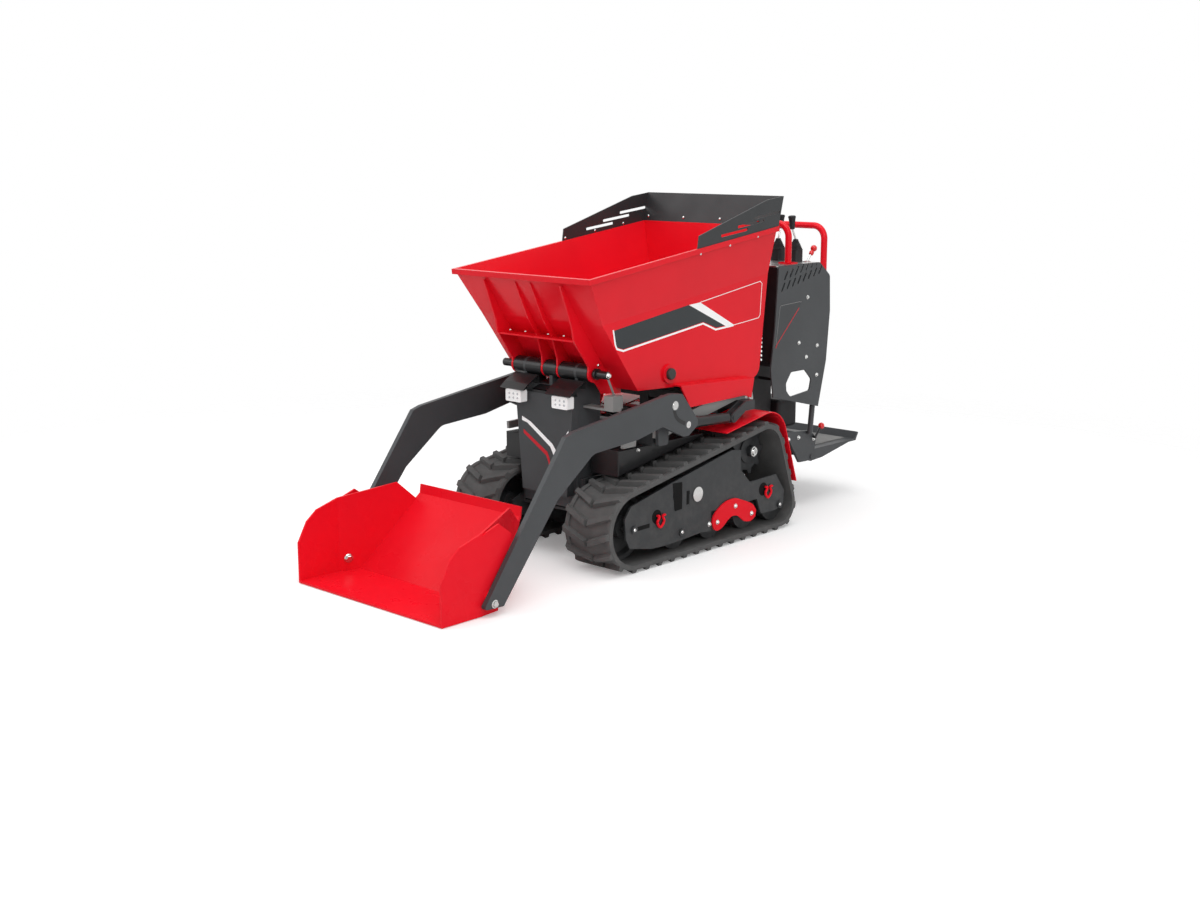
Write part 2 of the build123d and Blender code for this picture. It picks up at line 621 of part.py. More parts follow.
def hopper_ribs():
    """The four front ribs with their hinge lugs, tied by a shelf on the hopper's front wall."""
    foot = (-301, bottom_z(-301))
    outer = hinge_rib(
        RIB_OUTER_X,
        ((-624, 1056), (-561, 895), (-553, 850), (HINGE_Y - 31, HINGE_Z + 28), (HINGE_Y - 29, HINGE_Z - 8)),
        ((HINGE_Y + 15, HINGE_Z - 44), (-404, 640), (-301, 631), foot))
    inner = hinge_rib(
        RIB_INNER_X,
        ((-616, 1054), (-548, 913), (-506, 856), (HINGE_Y - 31, HINGE_Z + 46), (HINGE_Y - 29, HINGE_Z - 8)),
        ((HINGE_Y + 15, HINGE_Z - 32),))
    shelf = side_plate((
        (front_wall_y(SHELF_Z + SHELF_PLATE / 2) - SEAT, SHELF_Z + SHELF_PLATE / 2),
        (front_wall_y(SHELF_Z - SHELF_PLATE / 2) - SEAT, SHELF_Z - SHELF_PLATE / 2),
        (-548, SHELF_Z - SHELF_PLATE / 2), (-548, SHELF_Z + SHELF_PLATE / 2)),
        -RIB_OUTER_X, 2 * RIB_OUTER_X)
    return shelf.fuse(outer, inner, other_side(outer), other_side(inner))


def tip_ear():
    """One of the two ears under the hopper that take the tip cylinder's rod."""
    y, z = TIP_EYE
    x_low = TIP_EYE_WIDTH / 2 + PIN_GAP
    ear = side_plate((
        (y - 60, bottom_z(y - 60)), (y - 25, z), (y + 25, z), (y + 70, bottom_z(y + 70))), x_low, 10)
    return ear + rod_across(x_low, x_low + 10, y, z, 25)


def hopper_rail():
    """The left rail under the hopper's side: a hanging plate with top, front and rear flanges."""
    x_out = HOPPER_CREASE_HALF + RAIL_DROP
    top = [(y, bottom_z(y) + 9) for y in (-130, 322)]
    drop = [(y, bottom_z(y) + 4) for y in (-130, 322)]
    web = side_plate((drop[0], (-75, 566), (262, 572), (306, 558), drop[1]), x_out - RAIL_PLATE, RAIL_PLATE)
    flange = side_plate((drop[0], top[0], top[1], drop[1]), HOPPER_CREASE_HALF, RAIL_DROP)
    nose = side_plate((
        drop[0], (-75, 566), (-70, 568), (-124, bottom_z(-124) + 4)), HOPPER_CREASE_HALF + 34, 8)
    return web.fuse(flange, nose)


def hopper_cap():
    """The dark cap on the hopper's left boss."""
    x = HOPPER_CREASE_HALF + 9
    cap = rod_across(x, x + 14, -158, 701, 22)
    return fillet(cap.edges().filter_by(GeomType.CIRCLE).sort_by(Axis.X)[-1], 5)


def guard():
    """The three-sided fence on the rear half of the rim, with three slots in each side."""
    def rim_z(y):
        return RIM_FRONT[1] + RIM_SLOPE * (y - RIM_FRONT[0])
    x_low = HOPPER_HALF - 8
    rear = RIM_REAR_Y - 1
    panel = side_plate((
        (-40, rim_z(-40)), (-33, 1212), (385, 1334), (494, 1347), (rear, rim_z(rear))), x_low, GUARD_PLATE)
    for y, z in ((182, 1215), (284, 1245), (388, 1275)):
        slot = Pos(y, z) * Rot(0, 0, 6.5) * SlotOverall(168, 11)
        panel -= extrude(Plane.YZ.offset(x_low - 5) * slot, amount=20, dir=(1, 0, 0))
    back = side_plate((
        (rear - GUARD_PLATE, rim_z(rear - GUARD_PLATE)), (rear, rim_z(rear)), (494, 1347), (482, 1347)),
        -x_low - 1, 2 * x_low + 2)
    return panel.fuse(other_side(panel), back)


# Loader

def loader_arm():
    """The left loader arm: one thick plate, bent down to the shovel, with its two pin holes."""
    outline = Polygon(
        (-1208, 29), (-812, 560), (-770, 573), (-252, 646), (-190, 638), (-98, 530), (-98, 508),
        (-150, 474), (-180, 474), (-301, 528), (-440, 499), (-673, 482), (-855, 347), (-1116, 26))
    bends = [v for v in outline.vertices() if abs(v.X + 673) < 1 or abs(v.X + 855) < 1 or abs(v.X + 440) < 1]
    outline = fillet(bends, 60)
    ends = [v for v in outline.vertices() if v.X > -260 or abs(v.X + 1208) < 1 or abs(v.X + 1116) < 1]
    outline = fillet(ends, 9)
    plate = extrude(Plane.YZ.offset(ARM_INNER) * outline, amount=ARM_PLATE, dir=(1, 0, 0))
    for y, z, radius in ((*LIFT_PIVOT, PIVOT_PIN + PIN_GAP), (*LIFT_PIN, 11)):
        plate -= rod_across(ARM_INNER - 1, ARM_OUTER + 1, y, z, radius)
    return plate


def pivot_pin():
    """The left loader pivot's pin, from its post out through the arm."""
    return rod_across(POST_X + POST_PLATE, ARM_OUTER + 1, *LIFT_PIVOT, PIVOT_PIN)


def lift_pin():
    """The pin in the left arm that the lift cylinder's rod pushes on."""
    return rod_across(ARM_INNER - 4, ARM_OUTER + 1, *LIFT_PIN, 11 - SEAT)


def panel(points, thickness):
    """A flat panel: its corners in space, thickened to the side that their order turns to."""
    face = Face(Wire.make_polygon([Vector(*point) for point in points], close=True))
    return extrude(face, amount=thickness, dir=face.normal_at())


def shovel():
    """The loading shovel: floor, sloped back with a lip, and sides that turn inwards at the back."""
    base, wall, half = SHOVEL_BASE, SHOVEL_WALL, SHOVEL_HALF
    tip, bend, fold = -SHOVEL_REACH, -1190.0, -1116.0
    corner, top = (-977.0, 323.0), (-892.0, 268.0)
    lean = (half - 304.0) / (corner[0] - bend)

    def side_x(y):
        return half - lean * (y - bend)

    floor = extrude(Plane.XY.offset(base) * Polygon(
        (-half, tip), (half, tip), (half, bend), (side_x(fold), fold), (-side_x(fold), fold),
        (-half, bend)), amount=wall)
    side = side_plate((
        (tip, base), (tip, 150), (tip + 40, 222), (tip + 85, 258), (bend, 286), (bend, base)),
        half - wall, wall)
    turned = panel((
        (half, bend, base), (half, bend, 286), (side_x(corner[0]), *corner), (side_x(-905), -905, 250),
        (side_x(fold), fold, base)), wall)
    low_x, top_x = side_x(fold) - 1, side_x(top[0]) - 1
    back = panel(((-low_x, fold, base), (low_x, fold, base), (top_x, *top), (-top_x, *top)), wall)
    lip = panel((
        (-top_x, top[0], top[1] - 4), (top_x, top[0], top[1] - 4), (top_x, top[0] + 6, 306),
        (-top_x, top[0] + 6, 306)), 6)
    bracket = side_plate((
        (-1205, base), (-1196, 276), (-1110, 306), (-1050, 262), (-1098, 120), (-1120, base + 4)),
        half - wall, wall)
    bosses = [rod_across(half - 1, ARM_INNER, y, z, 22) for y, z in ((-1158, 62), (-1080, 150))]
    left = [side, turned, bracket, *bosses]
    return floor.fuse(*left, *[other_side(part) for part in left], back, lip)


# Cylinders

def barrel(base, eye, x, radius, rod_radius, eye_width, length, pin):
    """A cylinder barrel with its base eye, bored for its rod, in the plane at x."""
    start, end = along(base, eye, radius + 7), along(base, eye, length)
    tube = rod_between(start, end, x, radius)
    gland = rod_between(along(base, eye, length - 22), end, x, radius + 3)
    tongue = hull_plate((
        (*base, radius * 0.85), (*along(base, eye, radius + 10), radius * 0.85)), x - eye_width / 2, eye_width)
    body = tube.fuse(gland, tongue) - rod_across(x - eye_width, x + eye_width, *base, pin + SEAT)
    bore = rod_between(along(base, eye, radius + 14), along(base, eye, length + 5), x, rod_radius + PIN_GAP)
    return body - bore


def piston_rod(base, eye, x, radius, eye_radius, eye_width, start):
    """A piston rod from inside its barrel to its eye."""
    shaft = rod_between(along(base, eye, start), eye, x, radius)
    ring = rod_across(x - eye_width / 2, x + eye_width / 2, *eye, eye_radius)
    return shaft.fuse(ring) - rod_across(x - eye_width, x + eye_width, *eye, eye_radius * 0.5)


def tip_barrel():
    """The tip cylinder's barrel."""
    return barrel(TIP_BASE, TIP_EYE, 0, TIP_BARREL, TIP_ROD, TIP_EYE_WIDTH, TIP_BARREL_LENGTH, 14)


def tip_rod():
    """The tip cylinder's rod."""
    return piston_rod(TIP_BASE, TIP_EYE, 0, TIP_ROD, 24, TIP_EYE_WIDTH, TIP_ROD_START)


def lift_barrel():
    """The left lift cylinder's barrel."""
    return barrel(LIFT_BASE, LIFT_PIN, LIFT_X, LIFT_BARREL, LIFT_ROD, LIFT_EYE_WIDTH, LIFT_BARREL_LENGTH, 9)


def lift_rod():
    """The left lift cylinder's rod."""
    return piston_rod(LIFT_BASE, LIFT_PIN, LIFT_X, LIFT_ROD, 19, LIFT_EYE_WIDTH, LIFT_ROD_START)


# Engine

def engine():
    """The engine as one plain block, with its lower front part."""
    block = box((-ENGINE_HALF, ENGINE_HALF), ENGINE_Y, (CHASSIS_TOP_Z, ENGINE_TOP))
    nose = box((-ENGINE_HALF, ENGINE_HALF), (ENGINE_Y[0] - 90, ENGINE_Y[0] + 1), (CHASSIS_TOP_Z, ENGINE_TOP - 50))
    return block + nose


def fan_housing():
    """The round housing on the engine's left front, with its small lever."""
    x = ENGINE_HALF
    y, z = ENGINE_Y[0] - 45, CHASSIS_TOP_Z + 100
    drum = wheel((
        (x, 0), (x, 50), (x + 22, 58), (x + 48, 56), (x + 58, 44), (x + 58, 20), (x + 50, 16),
        (x + 50, 0)), y, z)
    lever = side_plate(((y - 12, z + 40), (y + 12, z + 40), (y + 18, z + 72), (y + 2, z + 98), (y - 12, z + 80)),
                       x + 40, 7)
    return drum.fuse(lever)


# Console

def console_side():
    """The console's left side sheet, with its slanted louvres and the rounded access hole."""
    top, front, rear = CONSOLE_TOP_Z, CONSOLE_FRONT_Y, CONSOLE_REAR_Y
    outline = Polygon(
        (front + 27, top), (rear - 84, top), (rear - 8, top - 59), (rear, 855), (rear - 19, 641),
        (rear - 69, 447), (front + 8, 523), (front - 12, 641), (front + 10, 804))
    outline = fillet([v for v in outline.vertices() if v.Y > top - 80], 20)
    hole = Polygon((618, 572), (652, 616), (750, 616), (798, 572), (786, 524), (650, 512), (622, 540))
    outline -= fillet(hole.vertices(), 14)
    for row in range(2):
        for slot in range(8):
            place = Pos(front + 60 + slot * 37 + row * 18, top - 88 + slot * 8 + row * 46)
            outline -= place * Rot(0, 0, 58) * SlotOverall(42, 9)
    return extrude(Plane.YZ.offset(CONSOLE_HALF - CONSOLE_PLATE) * outline, amount=CONSOLE_PLATE, dir=(1, 0, 0))


def console_front():
    """The console's dark front panel with a perforated field on each side."""
    inner = CONSOLE_HALF - CONSOLE_PLATE
    low = ENGINE_TOP + 8
    face = Polygon((-inner, low), (inner, low), (inner, CONSOLE_TOP_Z - 5), (-inner, CONSOLE_TOP_Z - 5))
    for row in range(7):
        for column in range(3):
            for side in (1, -1):
                x = side * (inner - 72 - column * 18)
                face -= Pos(x, low + 24 + row * 18 + (column % 2) * 9) * Circle(5.5)
    plane = Plane(origin=(0, CONSOLE_FRONT_Y + 22, 0), x_dir=(1, 0, 0), z_dir=(0, -1, 0))
    return extrude(plane * face, amount=-5)


def console_top():
    """The console's bright top panel, sloped at the rear and folded down behind the levers."""
    inner = CONSOLE_HALF - CONSOLE_PLATE
    top, rear = CONSOLE_TOP_Z - CONSOLE_TOP_SHEET, CONSOLE_REAR_Y
    fold = RAIL_REAR_Y - RAIL_TUBE - SEAT - CONSOLE_TOP_SHEET
    points = ((CONSOLE_FRONT_Y + 17, top), (rear - 85, top), (fold, top - 58), (fold, top - 140))
    return bent_sheet(points, 12, CONSOLE_TOP_SHEET, -inner, 2 * inner)


def hoop(y, low, high):
    """One handrail: a tube bent into a wide hoop across the console."""
    path = FilletPolyline(
        (-RAIL_X, y, low), (-RAIL_X, y, high), (RAIL_X, y, high), (RAIL_X, y, low), radius=RAIL_BEND)
    start = Plane(origin=path @ 0, z_dir=path % 0)
    return sweep(start * Circle(RAIL_TUBE), path=path)


def handrails():
    """The two handrail hoops, with flange plates under the front one."""
    front = hoop(RAIL_FRONT_Y, CONSOLE_TOP_Z, RAIL_FRONT_TOP - RAIL_TUBE)
    rear = hoop(RAIL_REAR_Y, CONSOLE_TOP_Z - 128, RAIL_REAR_TOP - RAIL_TUBE)
    flange = box((RAIL_X - 32, RAIL_X + 32), (RAIL_FRONT_Y - 24, RAIL_FRONT_Y + 24),
                 (CONSOLE_TOP_Z, CONSOLE_TOP_Z + 6))
    return Compound(children=[*front.fuse(flange, other_side(flange)).solids(), *rear.solids()])


LEVER_XS = (200.0, 110.0)
LEVER_Y = 800.0


def lever_boots():
    """The two black pyramid boots on the console's top."""
    boots = []
    for x in LEVER_XS:
        plane = Plane(origin=(x, LEVER_Y, CONSOLE_TOP_Z))
        boots.append(loft([plane * Rectangle(62, 62), plane.offset(92) * Rectangle(17, 17)], ruled=True))
    return Compound(children=[solid for boot in boots for solid in boot.solids()])


def control_levers():
    """The levers with their cone knobs, two in each boot, and the ball-topped one beside them."""
    top = CONSOLE_TOP_Z
    solids = []
    for x in LEVER_XS:
        for turn in (-1, 1):
            foot = Vector(x, LEVER_Y + turn * 4, top + 93.4)
            head = Vector(x, LEVER_Y + turn * 21, top + 150)
            plane = Plane(origin=foot, z_dir=head - foot)
            lever = extrude(plane * Circle(4), amount=(head - foot).length + 8)
            knob = plane.offset((head - foot).length)
            cone = loft([knob * Circle(7), knob.offset(46) * Circle(15)])
            solids += lever.fuse(cone).solids()
    foot, head = Vector(250, 830, top), Vector(250, 862, top + 55)
    plane = Plane(origin=foot, z_dir=head - foot)
    stem = extrude(plane.offset(3) * Circle(5), amount=(head - foot).length)
    base = box((232, 268), (800, 832), (top, top + 5))
    solids += stem.fuse(base, Pos(*head) * Sphere(15)).solids()
    return Compound(children=solids)


def hydraulic_tank():
    """The rounded tank under the console's rear."""
    rear = CHASSIS_REAR_Y
    body = box((-150, 205), (rear, rear + 137), (354, 481))
    return fillet(body.edges(), 18)


def console_strut():
    """The left strut between the console's rear foot and the step's bracket."""
    x = PLATFORM_HALF + PIN_GAP + BRACKET_PLATE + 12
    tube = rod_between((834, 325), (850, 470), x, 12)
    tab = box((x, CONSOLE_HALF - CONSOLE_PLATE), (838, 862), (452, 476))
    return tube.fuse(tab)


# Rear step

def platform_bracket():
    """The step's bracket: two side plates with hinge bosses on a cross tube."""
    x_low = PLATFORM_HALF + PIN_GAP
    rear = CHASSIS_REAR_Y
    plate = side_plate((
        (rear - 26, 352), (rear + 157, 336), (rear + 200, 300), (FOLD_Y + 20, FOLD_Z + 10),
        (FOLD_Y, FOLD_Z - 14), (rear + 81, 206)), x_low, BRACKET_PLATE)
    plate += rod_across(x_low, x_low + BRACKET_PLATE, FOLD_Y, FOLD_Z, FOLD_PIN + 9)
    pin = rod_across(x_low - 18, x_low + BRACKET_PLATE + 4, FOLD_Y, FOLD_Z, FOLD_PIN)
    tube = box((-x_low - 1, x_low + 1), (rear, rear + 46), (300, 346))
    half = plate.fuse(pin)
    return half.fuse(other_side(half), tube)


def latch_knob():
    """The red ball knob of the step's latch, on the left bracket plate."""
    x = PLATFORM_HALF + PIN_GAP + BRACKET_PLATE
    y, z = CHASSIS_REAR_Y + 180, 305
    stem = rod_across(x, x + 14, y, z, 6)
    neck = rod_between((y, z), (923, 349), x + 10, 5)
    return stem.fuse(neck, Pos(x + 10, 923, 349) * Sphere(14))


def platform():
    """The stand-on step: a deck bent down in front and up behind, with a deep skirt on each side."""
    half, sheet, rear = PLATFORM_HALF, PLATFORM_SHEET, PLATFORM_REACH
    under = DECK_Z - sheet
    line = ((897, 206), (897, under), (rear - 22, under), (rear, DECK_Z + 27))
    deck = bent_sheet(line, 7, sheet, -half + sheet, 2 * (half - sheet))
    skirt = side_plate((
        (FOLD_Y - 14, under), (FOLD_Y - 4, FOLD_Z - 16), (901, 196), (969, 200), (rear - 75, under - 2),
        (rear - 20, under - 2), (rear, DECK_Z + 27), (rear - 6, DECK_Z + 29), (rear - 30, DECK_Z + 1),
        (884, DECK_Z + 1)), half - sheet, sheet)
    skirt += rod_across(half - sheet - 8, half, FOLD_Y, FOLD_Z, FOLD_PIN + 8)
    skirt -= rod_across(half - sheet - 10, half + 1, FOLD_Y, FOLD_Z, FOLD_PIN + PIN_GAP)
    return deck.fuse(skirt, other_side(skirt))


def platform_mat():
    """The light mat on the step's deck."""
    half = PLATFORM_HALF - 46
    mat = box((-half, half), (912, PLATFORM_REACH - 46), (DECK_Z, DECK_Z + MAT))
    return mat - box((-40, 40), (950, 962), (DECK_Z - 1, DECK_Z + MAT + 1))


# Export

def build():
    """Every piece by its name. A left piece is mirrored where the right one is a piece of its own."""
    pieces = {
        "chassis_frame": chassis(),
        "hopper_rests": both_sides(hopper_rest()),
        "loader_posts": both_sides(pivot_post()),
        "side_braces": both_sides(side_brace()),
        "lift_mounts": both_sides(lift_mount()),
        "side_boxes": both_sides(side_box()),
        "pivot_pins": both_sides(pivot_pin()),
        "front_tower": tower(),
        "front_cover": front_cover(),
        "lamp_hoods": both_sides(lamp_hood()),
        "work_lamps": both_sides(work_lamp().fuse(lamp_foot())),
        "hinge_tubes": hinge_tubes(),
        "hinge_pin": hinge_pin(),
        "tilt_link": tilt_link(),
        "track_left": track(),
        "track_frame_left": track_frame(),
        "idlers": both_sides(idler()),
        "sprockets": both_sides(sprocket()),
        "track_rollers": both_sides(Compound(children=[
            *roller(TAIL_Y, TAIL_Z, TAIL_RADIUS - SEAT).solids(),
            *[solid for y in ROLLER_YS for solid in roller(y, ROLLER_Z, ROLLER_RADIUS - SEAT).solids()]])),
        "drive_motors": both_sides(drive_motor()),
        "bogie_plates": both_sides(bogie_plate()),
        "shackles": both_sides(Compound(children=[*shackle(-280, 169).solids(), *shackle(381, 165).solids()])),
        "fender_left": fender(),
        "engine_block": engine(),
        "fan_housing": fan_housing(),
        "console_side_left": console_side(),
        "console_front_cover": console_front(),
        "console_top_panel": console_top(),
        "handrails": handrails(),
        "lever_boots": lever_boots(),
        "control_levers": control_levers(),
        "hydraulic_tank": hydraulic_tank(),
        "console_struts": both_sides(console_strut()),
        "platform_bracket": platform_bracket(),
        "latch_knob": latch_knob(),
        "platform": platform(),
        "platform_mat": platform_mat(),
        "hopper": hopper(),
        "hopper_ribs": hopper_ribs(),
        "hopper_ears": both_sides(tip_ear()),
        "hopper_rails": both_sides(hopper_rail()),
        "hopper_caps": both_sides(hopper_cap()),
        "hopper_guard": guard(),
        "tip_barrel": tip_barrel(),
        "tip_rod": tip_rod(),
        "loader_arms": both_sides(loader_arm()),
        "lift_pins": both_sides(lift_pin()),
        "shovel": shovel(),
        "lift_barrel_left": lift_barrel(),
        "lift_rod_left": lift_rod(),
    }
    for name in [name for name in pieces if name.endswith("_left")]:
        pieces[name.replace("_left", "_right")] = other_side(pieces[name])
    return pieces


os.makedirs("parts", exist_ok=True)
for name, piece in build().items():
    solids = piece.solids()
    whole = solids[0] if len(solids) == 1 else Compound(children=solids)
    export_step(Pos(0, MIDDLE_SHIFT, 0) * whole, f"parts/{name}.step")
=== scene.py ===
from math import pi, radians

import bmesh
import bpy
import numpy as np
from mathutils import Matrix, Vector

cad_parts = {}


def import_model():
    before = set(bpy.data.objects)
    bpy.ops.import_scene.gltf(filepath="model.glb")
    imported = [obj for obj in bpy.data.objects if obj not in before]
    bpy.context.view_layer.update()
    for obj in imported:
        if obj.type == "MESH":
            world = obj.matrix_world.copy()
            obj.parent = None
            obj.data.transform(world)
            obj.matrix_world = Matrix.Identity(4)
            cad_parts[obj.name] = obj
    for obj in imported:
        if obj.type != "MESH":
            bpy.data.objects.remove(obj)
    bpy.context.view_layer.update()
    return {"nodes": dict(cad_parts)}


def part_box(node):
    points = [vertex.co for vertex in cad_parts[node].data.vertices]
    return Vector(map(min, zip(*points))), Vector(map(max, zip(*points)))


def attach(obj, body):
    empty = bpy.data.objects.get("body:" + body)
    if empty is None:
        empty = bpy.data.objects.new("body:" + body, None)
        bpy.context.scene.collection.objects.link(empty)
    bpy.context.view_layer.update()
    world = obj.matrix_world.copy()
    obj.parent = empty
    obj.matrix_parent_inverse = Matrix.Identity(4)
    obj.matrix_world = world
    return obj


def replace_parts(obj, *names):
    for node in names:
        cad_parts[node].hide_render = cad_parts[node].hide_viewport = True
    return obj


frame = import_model()

# Sizes are in millimetres in the machine's own axes: X to its left, Y to its rear from the middle of the
# tracks' contact, Z up. metres() turns them into the frame's metres.
MIDDLE_SHIFT = 60.0

HOPPER_SIDE_X = 316.0
CONSOLE_SIDE_X = 300.0
FRAME_SIDE_X = 400.0
BOGIE_SIDE_X = 406.0
ARM_SIDE_X = 414.0
LIP_SIDE_X = 358.0
FENCE_INNER_X = 352.0
FENCE_REAR_Y = 461.0
RIM_SLOPE = 0.1307
RIB_SIDE_X = 204.0
BRACKET_SIDE_X = 262.5
HINGE_END = (272.0, -445.0, 720.0)
SHOVEL_INNER_X = 368.4
COVER_FRONT_Y = -506.0
LAMP_X = 123.0
LAMP_Z = 615.0
TRAY_HALF = 57.0
CONSOLE_TOP_Z = 1063.0
LEVER_Y = 800.0
LATCH_PIVOT = (272.5, 880.0, 305.0)
LATCH_BALL = (272.5, 923.0, 349.0)
STICKER = 0.5

# Each lever boot's x and how far forward or back its lever leans, and the belt's wheels as (y, z, radius).
LEVERS = ((200.0, -26.0), (110.0, 14.0))
BELT_WHEELS = ((-443.0, 161.0, 131.0), (340.0, 332.0, 100.0), (452.0, 102.0, 72.0))

RED = (0.82, 0.008, 0.020)
ANTHRACITE = (0.058, 0.062, 0.066)
BLACK = (0.010, 0.010, 0.011)
RUBBER = (0.094, 0.094, 0.094)
SILVER = (0.55, 0.55, 0.54)
LIGHT_GREY = (0.30, 0.30, 0.295)
WHITE = (0.86, 0.86, 0.86)
DUST = (0.33, 0.31, 0.28)
FLOOR_LIFT = 0.2
FLOOR_FADE = (1.7, 4.0)


# Surfaces

def metres(points):
    """Machine millimetres as frame metres: the shift along Y, then a thousandth."""
    points = np.array(points, dtype=float)
    points[..., 1] += MIDDLE_SHIFT
    return points / 1000


def tube_faces(rows, columns, first):
    """Faces of a closed tube of rings: quads between neighbouring rings, and a lid at each end."""
    row, column = np.meshgrid(np.arange(rows - 1), np.arange(columns), indexing="ij")
    near = first + row * columns + column
    beside = first + row * columns + (column + 1) % columns
    sides = np.stack([near, beside, beside + columns, near + columns], axis=-1).reshape(-1, 4)
    last = first + (rows - 1) * columns
    return sides.tolist() + [list(range(first, first + columns))[::-1], list(range(last, last + columns))]


def piece(name, tubes, material, body, crease=35):
    """One object from closed tubes, each an array (rings, points, 3) in millimetres, riding on a body."""
    vertices, faces, first = [], [], 0
    for rings in tubes:
        rows, columns = rings.shape[:2]
        vertices.append(rings.reshape(-1, 3))
        faces += tube_faces(rows, columns, first)
        first += rows * columns
    mesh = bpy.data.meshes.new(name)
    mesh.from_pydata(metres(np.concatenate(vertices)).tolist(), [], faces)
    shell = bmesh.new()
    shell.from_mesh(mesh)
    bmesh.ops.recalc_face_normals(shell, faces=shell.faces)
    shell.to_mesh(mesh)
    shell.free()
    mesh.polygons.foreach_set("use_smooth", [True] * len(mesh.polygons))
    mesh.set_sharp_from_angle(angle=radians(crease))
    mesh.materials.append(material)
    made = bpy.data.objects.new(name, mesh)
    bpy.context.scene.collection.objects.link(made)
    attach(made, body)
    return made


def across(direction):
    """Two directions square to the given one and to each other, and the direction at length one."""
    axis = np.array(direction, dtype=float)
    axis /= np.linalg.norm(axis)
    helper = np.array((0.0, 0.0, 1.0)) if abs(axis[2]) < 0.9 else np.array((0.0, 1.0, 0.0))
    first = np.cross(helper, axis)
    first /= np.linalg.norm(first)
    return first, np.cross(axis, first), axis


def lathe(profile, place, direction, sides=24):
    """A turned form: each (radius, height) of the profile is a ring about the direction, that far along."""
    first, second, axis = across(direction)
    turn = np.linspace(0, 2 * pi, sides, endpoint=False)
    circle = np.cos(turn)[:, None] * first + np.sin(turn)[:, None] * second
    profile = np.array(profile, dtype=float)
    rings = profile[:, 0, None, None] * circle[None] + profile[:, 1, None, None] * axis
    return rings + np.array(place, dtype=float)


def smooth_path(points, steps=12):
    """A round path through the points: each span is a cubic whose slopes are half its neighbours' gaps."""
    points = np.array(points, dtype=float)
    padded = np.concatenate([2 * points[:1] - points[1:2], points, 2 * points[-1:] - points[-2:-1]])
    share = np.linspace(0, 1, steps, endpoint=False)[None, :, None]
    before, start, end, after = (padded[i:len(padded) - 3 + i, None, :] for i in range(4))
    spans = 0.5 * (2 * start + (end - before) * share
                   + (2 * before - 5 * start + 4 * end - after) * share ** 2
                   + (3 * start - before - 3 * end + after) * share ** 3)
    return np.concatenate([spans.reshape(-1, 3), points[-1:]])


def carried(path, radii, sides=12):
    """A round tube: a circle of the given radius at each point of the path, square to the path there."""
    path = np.array(path, dtype=float)
    along = np.gradient(path, axis=0)
    along /= np.linalg.norm(along, axis=1)[:, None]
    helper = np.array((0.31, 0.17, 0.94))
    first = np.cross(along, helper)
    first /= np.linalg.norm(first, axis=1)[:, None]
    second = np.cross(along, first)
    turn = np.linspace(0, 2 * pi, sides, endpoint=False)
    radii = np.broadcast_to(radii, len(path))
    circle = np.cos(turn)[None, :, None] * first[:, None] + np.sin(turn)[None, :, None] * second[:, None]
    return path[:, None] + radii[:, None, None] * circle


def ball_profile(radius, start, count):
    """A ball's turned profile, from the start angle off its lower pole to near its upper one."""
    turn = np.linspace(start, pi - 0.05, count)
    return [(radius * np.sin(angle), -radius * np.cos(angle)) for angle in turn]


def slab(lower, upper, lift):
    """A thin strip between two edges of as many points: each ring is two edge points and both lifted."""
    lower, upper = np.array(lower, dtype=float), np.array(upper, dtype=float)
    lift = np.array(lift, dtype=float)
    return np.stack([lower, upper, upper + lift, lower + lift], axis=1)


def line_strip(points, width, lift):
    """A strip of even width along a line, its edges set off to both sides at each point's bisector."""
    points = np.array(points, dtype=float)
    normal = np.array(lift, dtype=float) / np.linalg.norm(lift)
    along = np.diff(points, axis=0)
    along /= np.linalg.norm(along, axis=1)[:, None]
    before = np.concatenate([along[:1], along])
    after = np.concatenate([along, along[-1:]])
    bisector = before + after
    bisector /= np.linalg.norm(bisector, axis=1)[:, None]
    side = np.cross(normal, bisector)
    half = width / 2 / (bisector * before).sum(axis=1)
    return slab(points - side * half[:, None], points + side * half[:, None], lift)


def on_side(x, points):
    """(y, z) points on the upright plane at x."""
    return [(x, y, z) for y, z in points]


def both(make):
    """The same tubes made for the left side and the right one."""
    return [tube for side in (1, -1) for tube in make(side)]


# Shader groups

def shader_group(name, inputs, outputs):
    """An empty group with named sockets, and its two end nodes."""
    group = bpy.data.node_groups.new(name, "ShaderNodeTree")
    for label, kind, value in inputs:
        socket = group.interface.new_socket(label, in_out="INPUT", socket_type=kind)
        if value is not None:
            socket.default_value = value
    for label, kind in outputs:
        group.interface.new_socket(label, in_out="OUTPUT", socket_type=kind)
    return group, group.nodes.new("NodeGroupInput"), group.nodes.new("NodeGroupOutput")


def node(tree, kind, **settings):
    """A node with its plain properties set; a key with a leading socket_ sets that numbered input."""
    made = tree.nodes.new(kind)
    for key, value in settings.items():
        if key.startswith("socket_"):
            made.inputs[int(key[7:])].default_value = value
        else:
            setattr(made, key, value)
    return made


def noise(tree, vector, scale, detail=2.0, roughness=0.5):
    """A noise texture's value at the given scale per metre."""
    made = node(tree, "ShaderNodeTexNoise")
    tree.links.new(vector, made.inputs["Vector"])
    if isinstance(scale, (int, float)):
        made.inputs["Scale"].default_value = scale
    else:
        tree.links.new(scale, made.inputs["Scale"])
    made.inputs["Detail"].default_value = detail
    made.inputs["Roughness"].default_value = roughness
    return made.outputs["Fac"]


def spread(tree, value, low, high, start=0.0, end=1.0):
    """The value's range low to high laid over start to end, held at the ends."""
    made = node(tree, "ShaderNodeMapRange", clamp=True)
    tree.links.new(value, made.inputs["Value"])
    for label, number in (("From Min", low), ("From Max", high), ("To Min", start), ("To Max", end)):
        if isinstance(number, (int, float)):
            made.inputs[label].default_value = number
        else:
            tree.links.new(number, made.inputs[label])
    return made.outputs["Result"]


